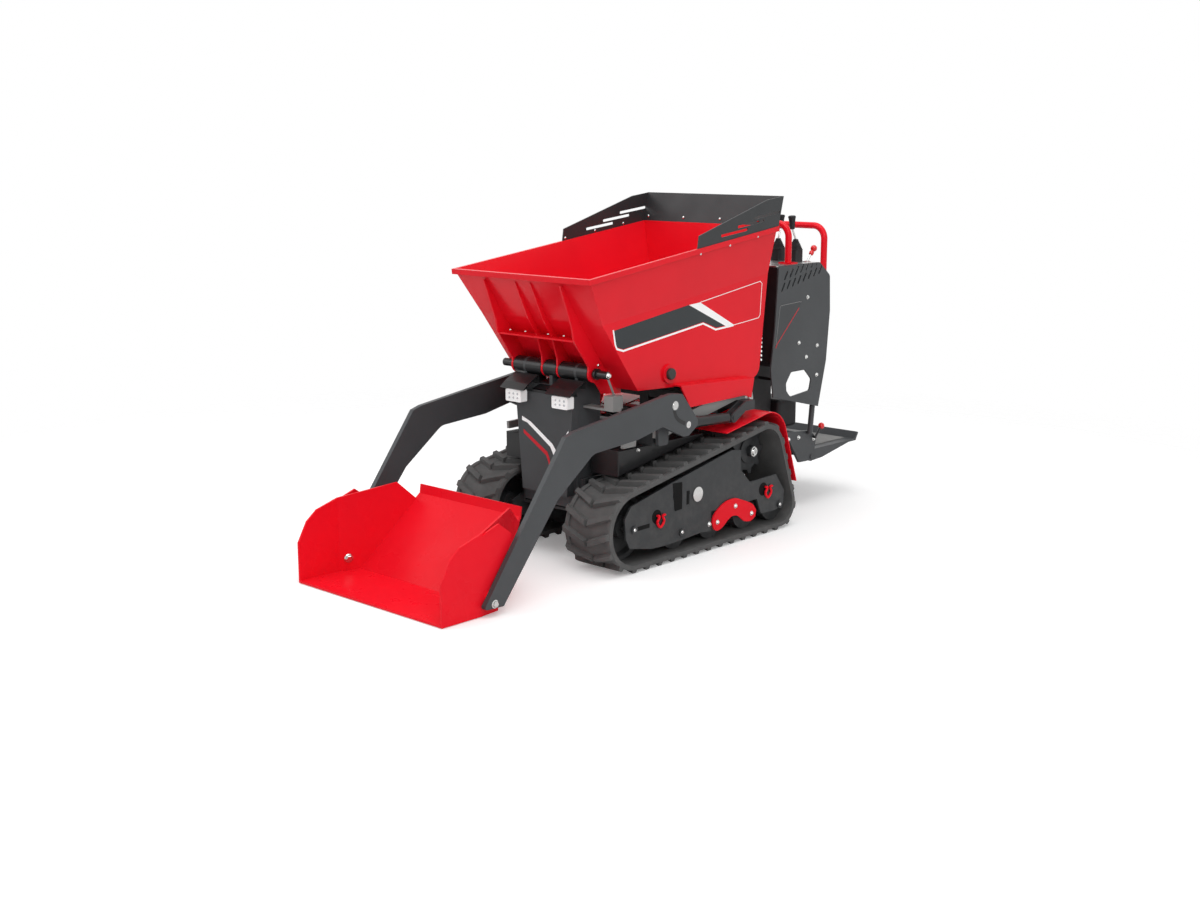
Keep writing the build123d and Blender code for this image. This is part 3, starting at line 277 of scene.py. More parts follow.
def maths(tree, operation, first, second):
    """One arithmetic step on two values or numbers."""
    made = node(tree, "ShaderNodeMath", operation=operation)
    for socket, value in zip(made.inputs, (first, second)):
        if isinstance(value, (int, float)):
            socket.default_value = value
        else:
            tree.links.new(value, socket)
    return made.outputs["Value"]


def blended(tree, mask, first, second):
    """The first colour where the mask is 0, the second where it is 1."""
    made = node(tree, "ShaderNodeMix", data_type="RGBA")
    tree.links.new(mask, made.inputs[0])
    for socket, value in ((made.inputs[6], first), (made.inputs[7], second)):
        if isinstance(value, tuple):
            socket.default_value = (*value, 1)
        else:
            tree.links.new(value, socket)
    return made.outputs[2]


def make_shade_drift():
    """A colour that drifts a little over the panel, as sprayed paint or moulded rubber does."""
    group, start, end = shader_group(
        "shade_drift",
        [("Vector", "NodeSocketVector", None), ("Colour", "NodeSocketColor", None),
         ("Deep Colour", "NodeSocketColor", None), ("Scale", "NodeSocketFloat", 5.0)],
        [("Colour", "NodeSocketColor"), ("Mask", "NodeSocketFloat")])
    drift = noise(group, start.outputs["Vector"], start.outputs["Scale"], detail=4.0)
    mask = spread(group, drift, 0.35, 0.7)
    shown = blended(group, mask, start.outputs["Colour"], start.outputs["Deep Colour"])
    group.links.new(shown, end.inputs[0])
    group.links.new(mask, end.inputs[1])
    return group


def make_fine_relief():
    """A fine pebbled height and a roughness that follows it: orange peel, powder coat or cast skin."""
    group, start, end = shader_group(
        "fine_relief",
        [("Vector", "NodeSocketVector", None), ("Scale", "NodeSocketFloat", 600.0),
         ("Low Roughness", "NodeSocketFloat", 0.3), ("High Roughness", "NodeSocketFloat", 0.4)],
        [("Height", "NodeSocketFloat"), ("Roughness", "NodeSocketFloat")])
    grain = noise(group, start.outputs["Vector"], start.outputs["Scale"], detail=3.0)
    patches = noise(group, start.outputs["Vector"], 9.0, detail=5.0)
    group.links.new(grain, end.inputs[0])
    rough = spread(group, patches, 0.3, 0.7,
                   start.outputs["Low Roughness"], start.outputs["High Roughness"])
    group.links.new(rough, end.inputs[1])
    return group


def make_ground_dust():
    """A mask of dry dust that thins out with height above the ground and breaks up in patches."""
    group, start, end = shader_group(
        "ground_dust",
        [("Vector", "NodeSocketVector", None), ("Reach", "NodeSocketFloat", 0.4),
         ("Amount", "NodeSocketFloat", 0.3)],
        [("Mask", "NodeSocketFloat")])
    parts = node(group, "ShaderNodeSeparateXYZ")
    group.links.new(start.outputs["Vector"], parts.inputs[0])
    low = spread(group, parts.outputs["Z"], 0.0, start.outputs["Reach"], 1.0, 0.0)
    broken = noise(group, start.outputs["Vector"], 26.0, detail=6.0, roughness=0.65)
    patches = spread(group, broken, 0.4, 0.72)
    mask = maths(group, "MULTIPLY", maths(group, "MULTIPLY", low, patches), start.outputs["Amount"])
    group.links.new(mask, end.inputs[0])
    return group


def make_fine_scuffs():
    """A mask of thin straight scuffs in two directions, from noise drawn out along one axis."""
    group, start, end = shader_group(
        "fine_scuffs",
        [("Vector", "NodeSocketVector", None), ("Amount", "NodeSocketFloat", 0.3)],
        [("Mask", "NodeSocketFloat")])
    strokes = []
    for turn, stretch in ((0.5, (14.0, 420.0, 420.0)), (-0.9, (300.0, 11.0, 300.0))):
        mapping = node(group, "ShaderNodeMapping", socket_2=(turn, turn * 0.7, 0.0), socket_3=stretch)
        group.links.new(start.outputs["Vector"], mapping.inputs[0])
        strokes.append(spread(group, noise(group, mapping.outputs[0], 1.0, detail=1.0), 0.66, 0.76))
    patches = spread(group, noise(group, start.outputs["Vector"], 7.0, detail=3.0), 0.5, 0.66)
    mask = maths(group, "MULTIPLY", maths(group, "MAXIMUM", *strokes), patches)
    group.links.new(maths(group, "MULTIPLY", mask, start.outputs["Amount"]), end.inputs[0])
    return group


SHADE_DRIFT = make_shade_drift()
FINE_RELIEF = make_fine_relief()
GROUND_DUST = make_ground_dust()
FINE_SCUFFS = make_fine_scuffs()


# Finishes

def grouped(tree, group, vector, **values):
    """The group placed in a material on the given coordinates with its own values."""
    made = tree.nodes.new("ShaderNodeGroup")
    made.node_tree = group
    tree.links.new(vector, made.inputs["Vector"])
    for label, value in values.items():
        socket = made.inputs[label.replace("_", " ")]
        socket.default_value = (*value, 1) if isinstance(value, tuple) else value
    return made


def finish(name, colour, deep, rough, relief, drift=4.0, metal=0.0, coat=0.0, coat_rough=0.05,
           gloss=0.3, dust=0.0, dust_reach=0.35, scuffs=0.0, scuff_colour=LIGHT_GREY):
    """A material: a drifting colour, scuffs and dust over it, and a fine relief (scale, metres deep)."""
    material = bpy.data.materials.new(name)
    material.use_nodes = True
    tree = material.node_tree
    shader = tree.nodes["Principled BSDF"]
    vector = tree.nodes.new("ShaderNodeTexCoord").outputs["Object"]
    tint = grouped(tree, SHADE_DRIFT, vector, Colour=colour, Deep_Colour=deep, Scale=drift)
    grain = grouped(tree, FINE_RELIEF, vector, Scale=relief[0],
                    Low_Roughness=rough[0], High_Roughness=rough[1])
    shown, roughness = tint.outputs["Colour"], grain.outputs["Roughness"]
    if scuffs:
        marks = grouped(tree, FINE_SCUFFS, vector, Amount=scuffs).outputs["Mask"]
        shown = blended(tree, marks, shown, scuff_colour)
        roughness = maths(tree, "ADD", roughness, maths(tree, "MULTIPLY", marks, 0.3))
    if dust:
        film = grouped(tree, GROUND_DUST, vector, Reach=dust_reach, Amount=dust).outputs["Mask"]
        shown = blended(tree, film, shown, DUST)
        roughness = maths(tree, "ADD", roughness, maths(tree, "MULTIPLY", film, 0.5))
    tree.links.new(shown, shader.inputs["Base Color"])
    tree.links.new(roughness, shader.inputs["Roughness"])
    bump = node(tree, "ShaderNodeBump")
    bump.inputs["Strength"].default_value = 0.5
    bump.inputs["Distance"].default_value = relief[1]
    tree.links.new(grain.outputs["Height"], bump.inputs["Height"])
    tree.links.new(bump.outputs["Normal"], shader.inputs["Normal"])
    shader.inputs["Metallic"].default_value = metal
    shader.inputs["Specular IOR Level"].default_value = gloss
    shader.inputs["Coat Weight"].default_value = coat
    shader.inputs["Coat Roughness"].default_value = coat_rough
    return material


def tinted(colour, share):
    """A colour scaled by a share."""
    return tuple(channel * share for channel in colour)


# A relief so shallow that the surface looks flat, and the roughness and relief that all stickers share.
FLAT = 0.00005
STICKER_SKIN = ((0.3, 0.36), (800, FLAT))

red_enamel = finish("red_enamel", RED, tinted(RED, 0.93), (0.2, 0.26), (420, 0.00003),
                    gloss=0.16, coat=0.03)
red_low = finish("red_enamel_low", RED, tinted(RED, 0.92), (0.24, 0.34), (420, 0.00003),
                 gloss=0.07, dust=0.012)
dark_coat = finish("anthracite_coat", ANTHRACITE, tinted(ANTHRACITE, 0.86), (0.38, 0.48), (1300, 0.0002))
# A darker copy of the anthracite for the running gear and frames low under the machine: the darkening is
# painted shade, and the dust over it is real dust.
dark_coat_dust_and_shade = finish("anthracite_coat_dust_and_shade", tinted(ANTHRACITE, 0.62), tinted(ANTHRACITE, 0.5),
                       (0.42, 0.55), (1300, 0.0002), dust=0.1, dust_reach=0.5)
hopper_fence = finish("fence_coat", tinted(ANTHRACITE, 0.56), tinted(ANTHRACITE, 0.48),
                      (0.34, 0.44), (1300, 0.0002))
black_coat = finish("black_coat", BLACK, tinted(BLACK, 1.5), (0.28, 0.4), (900, 0.0002), coat=0.1)
machinery_black = finish("machinery_black", tinted(BLACK, 1.2), tinted(BLACK, 2.4),
                         (0.45, 0.65), (350, 0.0004), drift=18.0, dust=0.08, dust_reach=0.8)
moulded_black = finish("moulded_black", tinted(BLACK, 1.3), tinted(BLACK, 1.9), (0.5, 0.62), (1600, 0.0002))
track_rubber = finish("track_rubber", RUBBER, tinted(RUBBER, 0.8), (0.68, 0.85), (240, 0.0005),
                      drift=14.0, dust=0.1, dust_reach=0.5)
brushed_silver = finish("brushed_silver", SILVER, tinted(SILVER, 0.86), (0.26, 0.4), (700, 0.0001),
                        drift=9.0, metal=1.0, scuffs=0.3, scuff_colour=(0.75, 0.75, 0.74))
bright_steel = finish("bright_steel", (0.66, 0.66, 0.65), (0.56, 0.56, 0.55), (0.14, 0.24), (500, FLAT),
                      drift=30.0, metal=1.0)
brass = finish("brass", (0.42, 0.30, 0.08), (0.36, 0.25, 0.06), (0.25, 0.35), (500, FLAT), metal=1.0)
grey_coat = finish("grey_coat", LIGHT_GREY, tinted(LIGHT_GREY, 0.88), (0.4, 0.5), (1200, 0.0002), coat=0.1)
# Near-black for the track frames' slots and holes: painted shade where the openings are.
painted_opening_shade = finish("painted_opening_shade", (0.004, 0.004, 0.004), (0.006, 0.006, 0.006),
                       (0.6, 0.7), (400, 0.0001), gloss=0.1)
white_lens = finish("white_lens", WHITE, tinted(WHITE, 0.94), (0.12, 0.2), (300, FLAT), coat=0.6)
led_dot = finish("led_dot", (0.62, 0.64, 0.66), (0.5, 0.52, 0.55), (0.1, 0.16), (300, FLAT), coat=0.8)
sticker_black = finish("sticker_black", (0.028, 0.034, 0.037), (0.024, 0.029, 0.032), *STICKER_SKIN)
plate_black = finish("plate_black", (0.044, 0.047, 0.050), (0.040, 0.043, 0.046), *STICKER_SKIN)
sticker_white_glowing = finish("sticker_white_glowing", (0.84, 0.84, 0.84), (0.8, 0.8, 0.8), *STICKER_SKIN)
sticker_red = finish("sticker_red", (0.62, 0.012, 0.025), (0.56, 0.010, 0.022), *STICKER_SKIN)
red_knob = finish("red_knob", (0.78, 0.008, 0.012), (0.7, 0.007, 0.010), (0.16, 0.24), (500, FLAT),
                  coat=0.6)
cap_grey = finish("cap_grey", (0.046, 0.044, 0.041), (0.040, 0.038, 0.035), (0.5, 0.6), (1600, 0.0002))
mat_grey = finish("mat_grey", (0.235, 0.235, 0.23), (0.19, 0.19, 0.187), (0.6, 0.72), (900, 0.0004),
                  drift=12.0, dust=0.15, dust_reach=0.6)

# White lamps and stickers shine a little. The lamps glow as lamps do; the stickers' glow is painted light
# that keeps them white in the shade.
for material in (white_lens, sticker_white_glowing):
    shader = material.node_tree.nodes["Principled BSDF"]
    shader.inputs["Emission Color"].default_value = (1, 1, 1, 1)
    shader.inputs["Emission Strength"].default_value = 0.16


# The carried-over pieces and their finishes

NODE_FINISHES = {
    red_enamel: ("hopper", "hopper_ribs", "hopper_ears", "hopper_rails", "handrails", "fender_left",
                 "fender_right"),
    red_low: ("shovel",),
    dark_coat: ("loader_arms", "console_side_left", "console_side_right", "front_tower", "front_cover",
                "loader_posts", "console_struts", "platform_bracket", "platform"),
    hopper_fence: ("hopper_guard",),
    dark_coat_dust_and_shade: ("track_frame_left", "track_frame_right", "chassis_frame", "idlers", "sprockets",
                    "track_rollers", "lift_mounts"),
    black_coat: ("side_boxes", "hinge_tubes", "hinge_pin", "console_front_cover", "tip_barrel",
                 "lift_barrel_left", "lift_barrel_right", "drive_motors", "lamp_hoods"),
    machinery_black: ("engine_block",),
    moulded_black: ("hydraulic_tank",),
    cap_grey: ("hopper_caps",),
    track_rubber: ("track_left", "track_right", "hopper_rests"),
    brushed_silver: ("fan_housing", "console_top_panel"),
    bright_steel: ("pivot_pins", "lift_pins", "tip_rod", "lift_rod_left", "lift_rod_right"),
    grey_coat: ("side_braces", "tilt_link"),
    white_lens: ("work_lamps",),
    mat_grey: ("platform_mat",),
}
for material, names in NODE_FINISHES.items():
    for name in names:
        for holder in frame["nodes"][name].material_slots:
            holder.material = material


# Bolts

def bolt(place, direction, size=6.5):
    """A flanged hexagon bolt: a round washer face with a six-sided head on it."""
    flange = ((size * 1.35, 0), (size * 1.35, size * 0.22), (size * 1.1, size * 0.34))
    hexagon = ((size, 0), (size, size * 0.55), (size * 0.82, size * 0.72))
    raised = np.array(place, dtype=float) + across(direction)[2] * size * 0.3
    return [lathe(flange, place, direction), lathe(hexagon, raised, direction, sides=6)]


def dome(place, direction, size=6.0):
    """A button head: its radius falls off as a quarter circle over its height."""
    share = np.linspace(0, pi / 2.2, 6)
    return [lathe([(size * np.cos(s), size * 0.6 * np.sin(s)) for s in share], place, direction, sides=16)]


def bolts(name, places, direction, body, size=6.5, head=bolt):
    """Bolts of one kind at several places, as one piece."""
    tubes = [tube for place in places for tube in head(place, direction, size)]
    return piece(name, tubes, bright_steel, body, crease=25)


def side_bolts(name, x, places, body, size=6.5, head=bolt):
    """The same bolts on both sides of the machine at x, each head facing outwards."""
    tubes = [tube for side in (1, -1) for y, z in places
             for tube in head((side * x, y, z), (side, 0, 0), size)]
    return piece(name, tubes, bright_steel, body, crease=25)


side_bolts("console_bolts", CONSOLE_SIDE_X, ((755, 922), (701, 735), (833, 712), (756, 670), (835, 586)),
           "chassis")
side_bolts("guard_bolts", LIP_SIDE_X, ((-25, 1145), (152, 1169), (327, 1194)), "hopper", 5.0, dome)
side_bolts("track_frame_bolts", FRAME_SIDE_X, ((-171, 102), (-4, 102), (452, 102), (-443, 161)),
           "chassis", 7.0)
side_bolts("bogie_bolts", BOGIE_SIDE_X, ((39, 103), (152, 148), (257, 100)), "chassis", 7.0)
side_bolts("side_box_bolts", CONSOLE_SIDE_X, ((-310, 427),), "chassis", 6.0)
side_bolts("bracket_bolts", BRACKET_SIDE_X, ((697, 319), (769, 317), (881, 297)), "chassis", 7.0)
side_bolts("rib_bolts", RIB_SIDE_X, ((-425, 750), (-386, 709)), "hopper", 5.0)
bolts("fence_side_bolts",
      [(-FENCE_INNER_X, y, 1175 + RIM_SLOPE * (y + 25)) for y in (-25, 152, 327)],
      (1, 0, 0), "hopper", 6.0, dome)
bolts("fence_rear_bolts", [(x, FENCE_REAR_Y, 1248) for x in (-330, -135, 60, 255)],
      (0, -1, 0.1), "hopper", 6.0, dome)
bolts("hinge_end_bolts", [HINGE_END], (1, 0, 0), "chassis", 9.0)
bolts("shelf_bolts", [(side * x, -540, 865) for side in (1, -1) for x in (60, 141)],
      (0, -0.5, 0.86), "hopper", 5.0, dome)


# Hopper stripes

def hopper_stripes():
    """The side stickers: a dark band that steps down at its rear, white edging, and a framed red field."""
    def field(side, lower, upper, height):
        x = side * (HOPPER_SIDE_X + height)
        return slab(on_side(x, lower), on_side(x, upper), (side * STICKER, 0, 0))

    def edging(side, points, width, height):
        x = side * (HOPPER_SIDE_X + height)
        return line_strip(on_side(x, points), width, (side * STICKER, 0, 0))

    lower = ((-452, 830), (-412, 818), (46, 879), (128, 850), (205, 855))
    upper = ((-462, 888), (-455, 891), (-120, 940), (-62, 948), (-44, 951))
    flash = (((-40, 951), (186, 851)), ((26, 956), (236, 853)))
    border = ((-466, 893), (-455, 838), (-446, 822), (-412, 812), (46, 873), (124, 843), (236, 850))
    frame_line = ((26, 956), (404, 1012), (416, 1003), (407, 877), (396, 866), (236, 851))
    piece("stripe_dark", both(lambda side: [field(side, lower, upper, 0.1)]),
          sticker_black, "hopper")
    piece("stripe_white", both(lambda side: [field(side, *flash, 0.2), edging(side, border, 7, 0.25)]),
          sticker_white_glowing, "hopper")
    piece("stripe_frame", both(lambda side: [edging(side, frame_line, 2.5, 0.2)]),
          sticker_white_glowing, "hopper")


hopper_stripes()


# Console plates

def console_plates():
    """The blank plate on each console side: a darker field, a pale edge and a red line down its slant."""
    slant = ((541, 735), (556, 741), (697, 880), (712, 905))
    border = ((541, 742), (563, 892), (570, 900), (698, 907))

    def field(side):
        x = side * (CONSOLE_SIDE_X + 0.1)
        return slab(on_side(x, slant), on_side(x, border), (side * STICKER, 0, 0))

    def line(side, height, points, width):
        x = side * (CONSOLE_SIDE_X + height)
        return line_strip(on_side(x, points), width, (side * STICKER, 0, 0))

    piece("console_plate_field", both(lambda side: [field(side)]), plate_black, "chassis")
    piece("console_plate_edge", both(lambda side: [line(side, 0.4, border + slant[-1:], 1.6)]),
          grey_coat, "chassis")
    piece("console_plate_line",
          both(lambda side: [line(side, 0.3, ((539, 728), (548, 742), (697, 882)), 4)]),
          sticker_red, "chassis")


console_plates()


# Front cover stripes

def cover_stripes():
    """The cover's bent white stripe with the thinner red one under it."""
    def stripe(lower, upper):
        edges = [[(x, COVER_FRONT_Y - 0.1, z) for x, z in points] for points in (lower, upper)]
        return slab(*edges, (0, -STICKER, 0))

    left = stripe(((-118, 516), (-90, 510), (32, 432), (50, 402), (55, 384)),
                  ((-118, 532), (-72, 516), (44, 444), (60, 424), (64, 400)))
    right = stripe(((66, 396), (86, 440), (128, 486)), ((70, 424), (90, 458), (128, 505)))
    red = stripe(((-110, 468), (10, 396), (22, 372), (28, 345)),
                 ((-110, 482), (17, 410), (29, 384), (32, 350)))
    piece("cover_stripe_white", [left, right], sticker_white_glowing, "chassis")
    piece("cover_stripe_red", [red], sticker_red, "chassis")


cover_stripes()


# Work lamps

def lamp_faces():
    """Each lamp's lens with two rows of three bright domes."""
    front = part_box("work_lamps")[0].y * 1000 - MIDDLE_SHIFT
    lens, dots = [], []
    for side in (1, -1):
        middle = side * LAMP_X
        edges = [[(middle + x, front + 2.6, LAMP_Z + z) for x in (-34, 34)] for z in (-16, 16)]
        lens.append(slab(*edges, (0, -1.2, 0)))
        for column in (-22, 0, 22):
            for row in (-8, 8):
                dots += dome((middle + column, front + 1.5, LAMP_Z + row), (0, -1, 0), 4.6)
    piece("lamp_lenses", lens, white_lens, "chassis")
    piece("lamp_dots", dots, led_dot, "chassis")


lamp_faces()


# Levers

def pleated_boot(x):
    """A square boot: rings of a rounded square, upright below and drawn in above in small folds."""
    turn = np.linspace(0, 2 * pi, 32, endpoint=False)
    square = np.stack([np.cos(turn), np.sin(turn)], axis=-1)
    square /= (np.abs(square) ** 6).sum(axis=-1, keepdims=True) ** (1 / 6)
    share = np.linspace(0, 1, 19)
    half = 24 - 18 * share + np.where(np.arange(19) % 2, 2.4, 0.0)
    heights = np.concatenate([[0, 4, 46], 48 + 46 * share])
    half = np.concatenate([[26, 24.5, 24.5], half])
    rings = np.zeros((len(half), len(turn), 3))
    rings[..., :2] = square[None] * half[:, None, None]
    rings[..., 2] = heights[:, None]
    return rings + np.array((x, LEVER_Y, CONSOLE_TOP_Z), dtype=float)


def levers():
    """Two pleated boots, each with a leaning rod under a cone knob, and a rod with a ball beside them."""
    boots, rods, knobs = [], [], []
    cone = ((4, -3), (9, -2), (10.5, 0), (11, 8), (14.5, 42), (16.5, 47), (16, 52), (12.5, 54.5), (5, 55))
    for x, lean in LEVERS:
        boots.append(pleated_boot(x))
        foot = np.array((x, LEVER_Y, CONSOLE_TOP_Z + 92.0))
        head = foot + (0, lean, 46)
        rods.append(carried([foot, head], 4.0, 12))
        knobs.append(lathe(cone, head, (0, lean / 300, 1), 28))
    foot = np.array((250.0, 816.0, CONSOLE_TOP_Z))
    head = np.array((250.0, 862.0, CONSOLE_TOP_Z + 54.0))
    rods.append(carried([foot, head], 4.2, 12))
    rods.append(lathe(((17, 0), (17, 2.5), (13, 4), (9, 5.5)), foot, (0, 0, 1), 24))
    ball = ball_profile(14, 0.35, 14)
    collar = [(6, -34), (9.5, -31), (10.5, -22), (8.5, -16)]
    bellows = piece("lever_bellows", boots, moulded_black, "chassis", crease=50)
    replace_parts(bellows, "lever_boots")
    cones = piece("lever_knobs", knobs, moulded_black, "chassis")
    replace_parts(cones, "control_levers")
    piece("lever_rods", rods, bright_steel, "chassis")
    piece("lever_ball", [lathe(collar + ball, head, head - foot, 24)], red_knob, "chassis")


levers()


# Running gear

def bogie_shields():
    """The arched red plate on each side, between a lower and an upper edge."""
    low = ((10, 100), (22, 76), (46, 68), (76, 78), (104, 97), (134, 110), (171, 104), (196, 86), (216, 74),
           (254, 69), (284, 82))
    high = ((10, 108), (18, 132), (48, 155), (80, 171), (108, 178), (136, 180), (164, 177), (188, 168),
            (226, 154), (266, 135), (289, 108))
    x = FRAME_SIDE_X + 0.3
    plates = both(lambda side: [slab(smooth_path(on_side(side * x, low), 4),
                                     smooth_path(on_side(side * x, high), 4), (side * 6.0, 0, 0))])
    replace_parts(piece("bogie_shields", plates, red_low, "chassis", crease=25), "bogie_plates")


def shackle_hooks():
    """The red shackles on the track frames: a round wire bent to a loop with flared ends."""
    bend = ((-20, 22), (-8, 17), (-20, -4), (-2, -24), (18, -4), (10, 17), (24, 20))
    tubes = []
    for side in (1, -1):
        for y, z in ((-298, 170), (370, 170)):
            course = on_side(side * (FRAME_SIDE_X + 5.6), [(y + dy, z + dz) for dy, dz in bend])
            tubes.append(carried(smooth_path(course, 6), 5.0, 10))
    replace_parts(piece("shackle_hooks", tubes, red_low, "chassis"), "shackles")


def frame_opening_shades():
    """Painted shade for the openings of each track frame: dark sheets over a wide and a narrow slot, the
    idler's slot and two holes.
    """
    slots = ((((-212, 190), (-170, 192)), ((-226, 300), (-170, 297))),
             (((-143, 203), (-128, 205)), ((-143, 257), (-129, 257))),
             (((-453, 152), (-356, 154)), ((-453, 168), (-356, 170))))
    openings = []
    for side in (1, -1):
        x = side * (FRAME_SIDE_X + 0.05)
        for lower, upper in slots:
            openings.append(slab(on_side(x, lower), on_side(x, upper), (side * 0.25, 0, 0)))
        for y, z in ((-316, 188), (340, 184)):
            openings.append(lathe(((27, 0), (27, 0.25)), (x, y, z), (side, 0, 0), 28))
    piece("frame_opening_shades", openings, painted_opening_shade, "chassis")


def frame_discs():
    """The bright disc in the middle of each track frame."""
    disc = ((29, 0), (29, 6.0), (27, 7.0), (4, 7.0))
    x = FRAME_SIDE_X + 0.1
    discs = both(lambda side: [lathe(disc, (side * x, -80, 235), (side, 0, 0), 40)])
    piece("frame_discs", discs, bright_steel, "chassis")


def track_shoulders():
    """The plain raised edge on both rims of each belt: at every angle it lies on the farthest wheel."""
    wheels = np.array(BELT_WHEELS)
    angles = np.linspace(0, 2 * pi, 241)
    facing = np.stack([np.cos(angles), np.sin(angles)], axis=-1)
    farthest = (wheels[:, :2] @ facing.T + wheels[:, 2:]).argmax(axis=0)
    tubes = []
    for low, high in ((391.0, 415.2), (184.8, 209.0)):
        section = ((low, 11.0), (high, 11.0), (high, 16.5), (high - 2.5, 18.5), (low + 6.0, 18.0))
        for side in (1, -1):
            corners = []
            for x, depth in section:
                course = wheels[farthest, :2] + (wheels[farthest, 2:] + depth) * facing
                corners.append(np.column_stack([np.full(len(course), side * x), course]))
            tubes.append(np.stack(corners, axis=1))
    piece("track_shoulders", tubes, track_rubber, "chassis")


def hub_rings():
    """The bright ring and bolt on each sprocket's hub, seen through the frame's window."""
    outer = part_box("sprockets")[1].x * 1000
    middle = BELT_WHEELS[1][:2]
    profile = ((21, 0), (21, 3), (18, 4), (13, 2.5), (11, 5), (4, 6))
    piece("hub_rings", both(lambda side: [lathe(profile, (side * outer, *middle), (side, 0, 0), 36)]),
          bright_steel, "chassis")


bogie_shields()
shackle_hooks()
frame_opening_shades()
frame_discs()
track_shoulders()
hub_rings()


# Side boxes

def side_box_covers():
    """The light-grey relay cover on the front of each side box."""
    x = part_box("side_boxes")[1].x * 1000 - 2
    lower, upper = ((-404, 446), (-334, 446)), ((-406, 474), (-330, 476))
    covers = both(lambda side: [
        slab(on_side(side * x, lower), on_side(side * x, upper), (side * 12, 0, 0))])
    piece("side_box_covers", covers, grey_coat, "chassis")


side_box_covers()


# Shovel and arms

def shovel_bolts():
    """The hexagon bolt inside each side of the shovel, low on the part that turns inwards."""
    heads = both(lambda side: bolt((side * SHOVEL_INNER_X, -1160, 54), (-side, -0.4, 0), 12.5))
    piece("shovel_inner_bolts", heads, bright_steel, "loader", crease=25)


def arm_details():
    """The bright pin faces on both arms, a dark strip of painted shade for the curved slot between them,
    and the shovel's pin bolts.
    """
    face = ((13, 0), (13, 1.6), (11, 2.6), (3, 2.6))
    x = ARM_SIDE_X + 0.6
    faces = both(lambda side: [
        lathe(face, (side * x, y, z), (side, 0, 0), 32) for y, z in ((-231, 599), (-154, 517))])
    piece("pin_faces", faces, bright_steel, "loader")
    course = ((-236, 582), (-228, 560), (-211, 542), (-188, 530), (-173, 524))

    # The slot is a dark strip lying on the arm's face: painted shade of its recess.
    def slot(side):
        path = smooth_path(on_side(side * (ARM_SIDE_X + 0.05), course), 8)
        return line_strip(path, 15, (side * 0.5, 0, 0))

    piece("arm_slot_shade", both(lambda side: [slot(side)]), black_coat, "loader")
    side_bolts("shovel_pin_bolts", ARM_SIDE_X, ((-1158, 43),), "loader", 11.0)


shovel_bolts()
arm_details()


# Step latch, lamp tray and drain tap

def latch():
    """The step latch's red ball on its dark stem, with the pivot at the stem's foot."""
    foot, head = np.array(LATCH_PIVOT), np.array(LATCH_BALL)
    ball = lathe(ball_profile(14, 0.3, 16), head, head - foot, 28)
    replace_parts(piece("latch_ball", [ball], red_knob, "chassis"), "latch_knob")
    pivot = lathe(((7, 0), (7, 12), (5, 14)), foot - (10, 0, 0), (1, 0, 0), 20)
    piece("latch_stem", [carried([foot, head], 5.0, 12), pivot], black_coat, "chassis")


def lamp_tray():
    """The recessed strip of sheet that joins the two lamp hoods across the tower's front."""
    rear, front = -471.0, -508.0
    ends = (-TRAY_HALF, TRAY_HALF)
    strip = slab(*[[(x, rear, 655), (x, front, 642)] for x in ends], (0, 0, 4))
    lip = slab(*[[(x, front, z) for x in ends] for z in (632, 646)], (0, 4, 0))
    piece("lamp_tray", [strip, lip], black_coat, "chassis")


def drain_tap():
    """The small brass tap in the left console opening, on a dark pipe that bends out from the engine."""
    course = smooth_path(((168, 608, 585), (235, 606, 585), (262, 612, 583), (268, 628, 580)), 8)
    piece("drain_pipe", [carried(course, 7.0, 14)], black_coat, "chassis")
    profile = ((10, 0), (10, 8), (7, 9), (7, 20), (9, 21), (9, 27), (5, 29))
    head = lathe(profile, (268, 626, 580), (0, 1, 0), 6)
    piece("drain_tap", [head], brass, "chassis")


latch()
lamp_tray()
drain_tap()


# Light, floor and camera

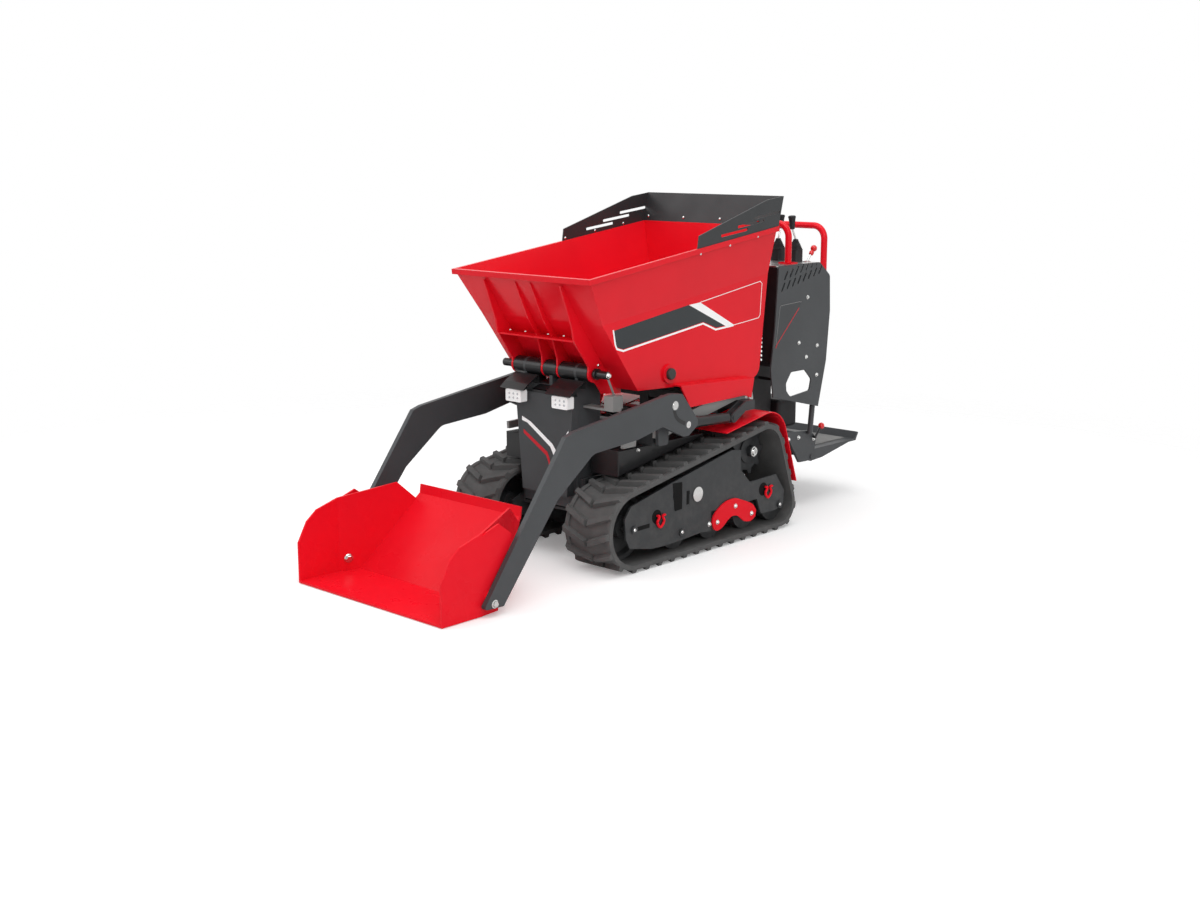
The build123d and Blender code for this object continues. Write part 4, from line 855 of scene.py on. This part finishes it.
def floor():
    """The pale floor: one wide sheet a little under the tracks, lifted to white and fading out far away."""
    reach, depth = 12.0, -0.001
    mesh = bpy.data.meshes.new("floor")
    corners = [(x * reach, y * reach, depth) for x, y in ((-1, -1), (1, -1), (1, 1), (-1, 1))]
    mesh.from_pydata(corners, [], [(0, 1, 2, 3)])
    sheet = bpy.data.objects.new("floor", mesh)
    bpy.context.scene.collection.objects.link(sheet)
    material = bpy.data.materials.new("floor_pale")
    material.use_nodes = True
    tree = material.node_tree
    shader = tree.nodes["Principled BSDF"]
    shader.inputs["Base Color"].default_value = (0.93, 0.93, 0.93, 1)
    shader.inputs["Roughness"].default_value = 0.7
    shader.inputs["Specular IOR Level"].default_value = 0.1
    shader.inputs["Emission Color"].default_value = (1, 1, 1, 1)
    seen = tree.nodes.new("ShaderNodeLightPath").outputs["Is Camera Ray"]
    tree.links.new(maths(tree, "MULTIPLY", seen, FLOOR_LIFT), shader.inputs["Emission Strength"])
    length = node(tree, "ShaderNodeVectorMath", operation="LENGTH")
    tree.links.new(tree.nodes.new("ShaderNodeTexCoord").outputs["Object"], length.inputs[0])
    fading = spread(tree, length.outputs["Value"], *FLOOR_FADE, 1.0, 0.0)
    tree.links.new(fading, shader.inputs["Alpha"])
    mesh.materials.append(material)


def area_light(name, place, turn, size, power):
    """A wide soft lamp at a place, turned by three angles in degrees."""
    lamp = bpy.data.lights.new(name, "AREA")
    lamp.shape = "DISK"
    lamp.size = size
    lamp.energy = power
    holder = bpy.data.objects.new(name, lamp)
    holder.location = place
    holder.rotation_euler = [radians(angle) for angle in turn]
    bpy.context.scene.collection.objects.link(holder)


def world():
    """White for the camera and for reflections, and a soft light, stronger from above, on all else."""
    sky = bpy.data.worlds.new("studio")
    bpy.context.scene.world = sky
    sky.use_nodes = True
    tree = sky.node_tree
    background = tree.nodes["Background"]
    path = tree.nodes.new("ShaderNodeLightPath")
    seen = maths(tree, "MAXIMUM", path.outputs["Is Camera Ray"], path.outputs["Is Glossy Ray"])
    seen = maths(tree, "MAXIMUM", seen, path.outputs["Is Transmission Ray"])
    height = node(tree, "ShaderNodeSeparateXYZ")
    tree.links.new(tree.nodes.new("ShaderNodeTexCoord").outputs["Generated"], height.inputs[0])
    soft = spread(tree, height.outputs["Z"], -0.3, 0.5, 0.3, 0.62)
    strength = spread(tree, seen, 0.0, 1.0, soft, 1.0)
    background.inputs["Color"].default_value = (1, 1, 1, 1)
    tree.links.new(strength, background.inputs["Strength"])


def camera():
    """The photograph's viewpoint."""
    lens = bpy.data.cameras.new("camera")
    lens.sensor_width = 36.0
    lens.lens = 45.56
    holder = bpy.data.objects.new("camera", lens)
    holder.location = (3.99258, -4.42618, 1.55489)
    holder.rotation_euler = (radians(78.5606), 0, radians(42.945))
    bpy.context.scene.collection.objects.link(holder)
    bpy.context.scene.camera = holder


floor()
world()
area_light("over", (0.5, -0.5, 5.0), (0, 0, 0), 5.0, 125.0)
area_light("left_front", (4.5, -3.0, 3.5), (55, 0, 56), 3.0, 85.0)
area_light("right_front", (-3.5, -4.0, 3.0), (58, 0, -41), 3.0, 50.0)
camera()
bpy.context.scene.view_settings.view_transform = "Standard"
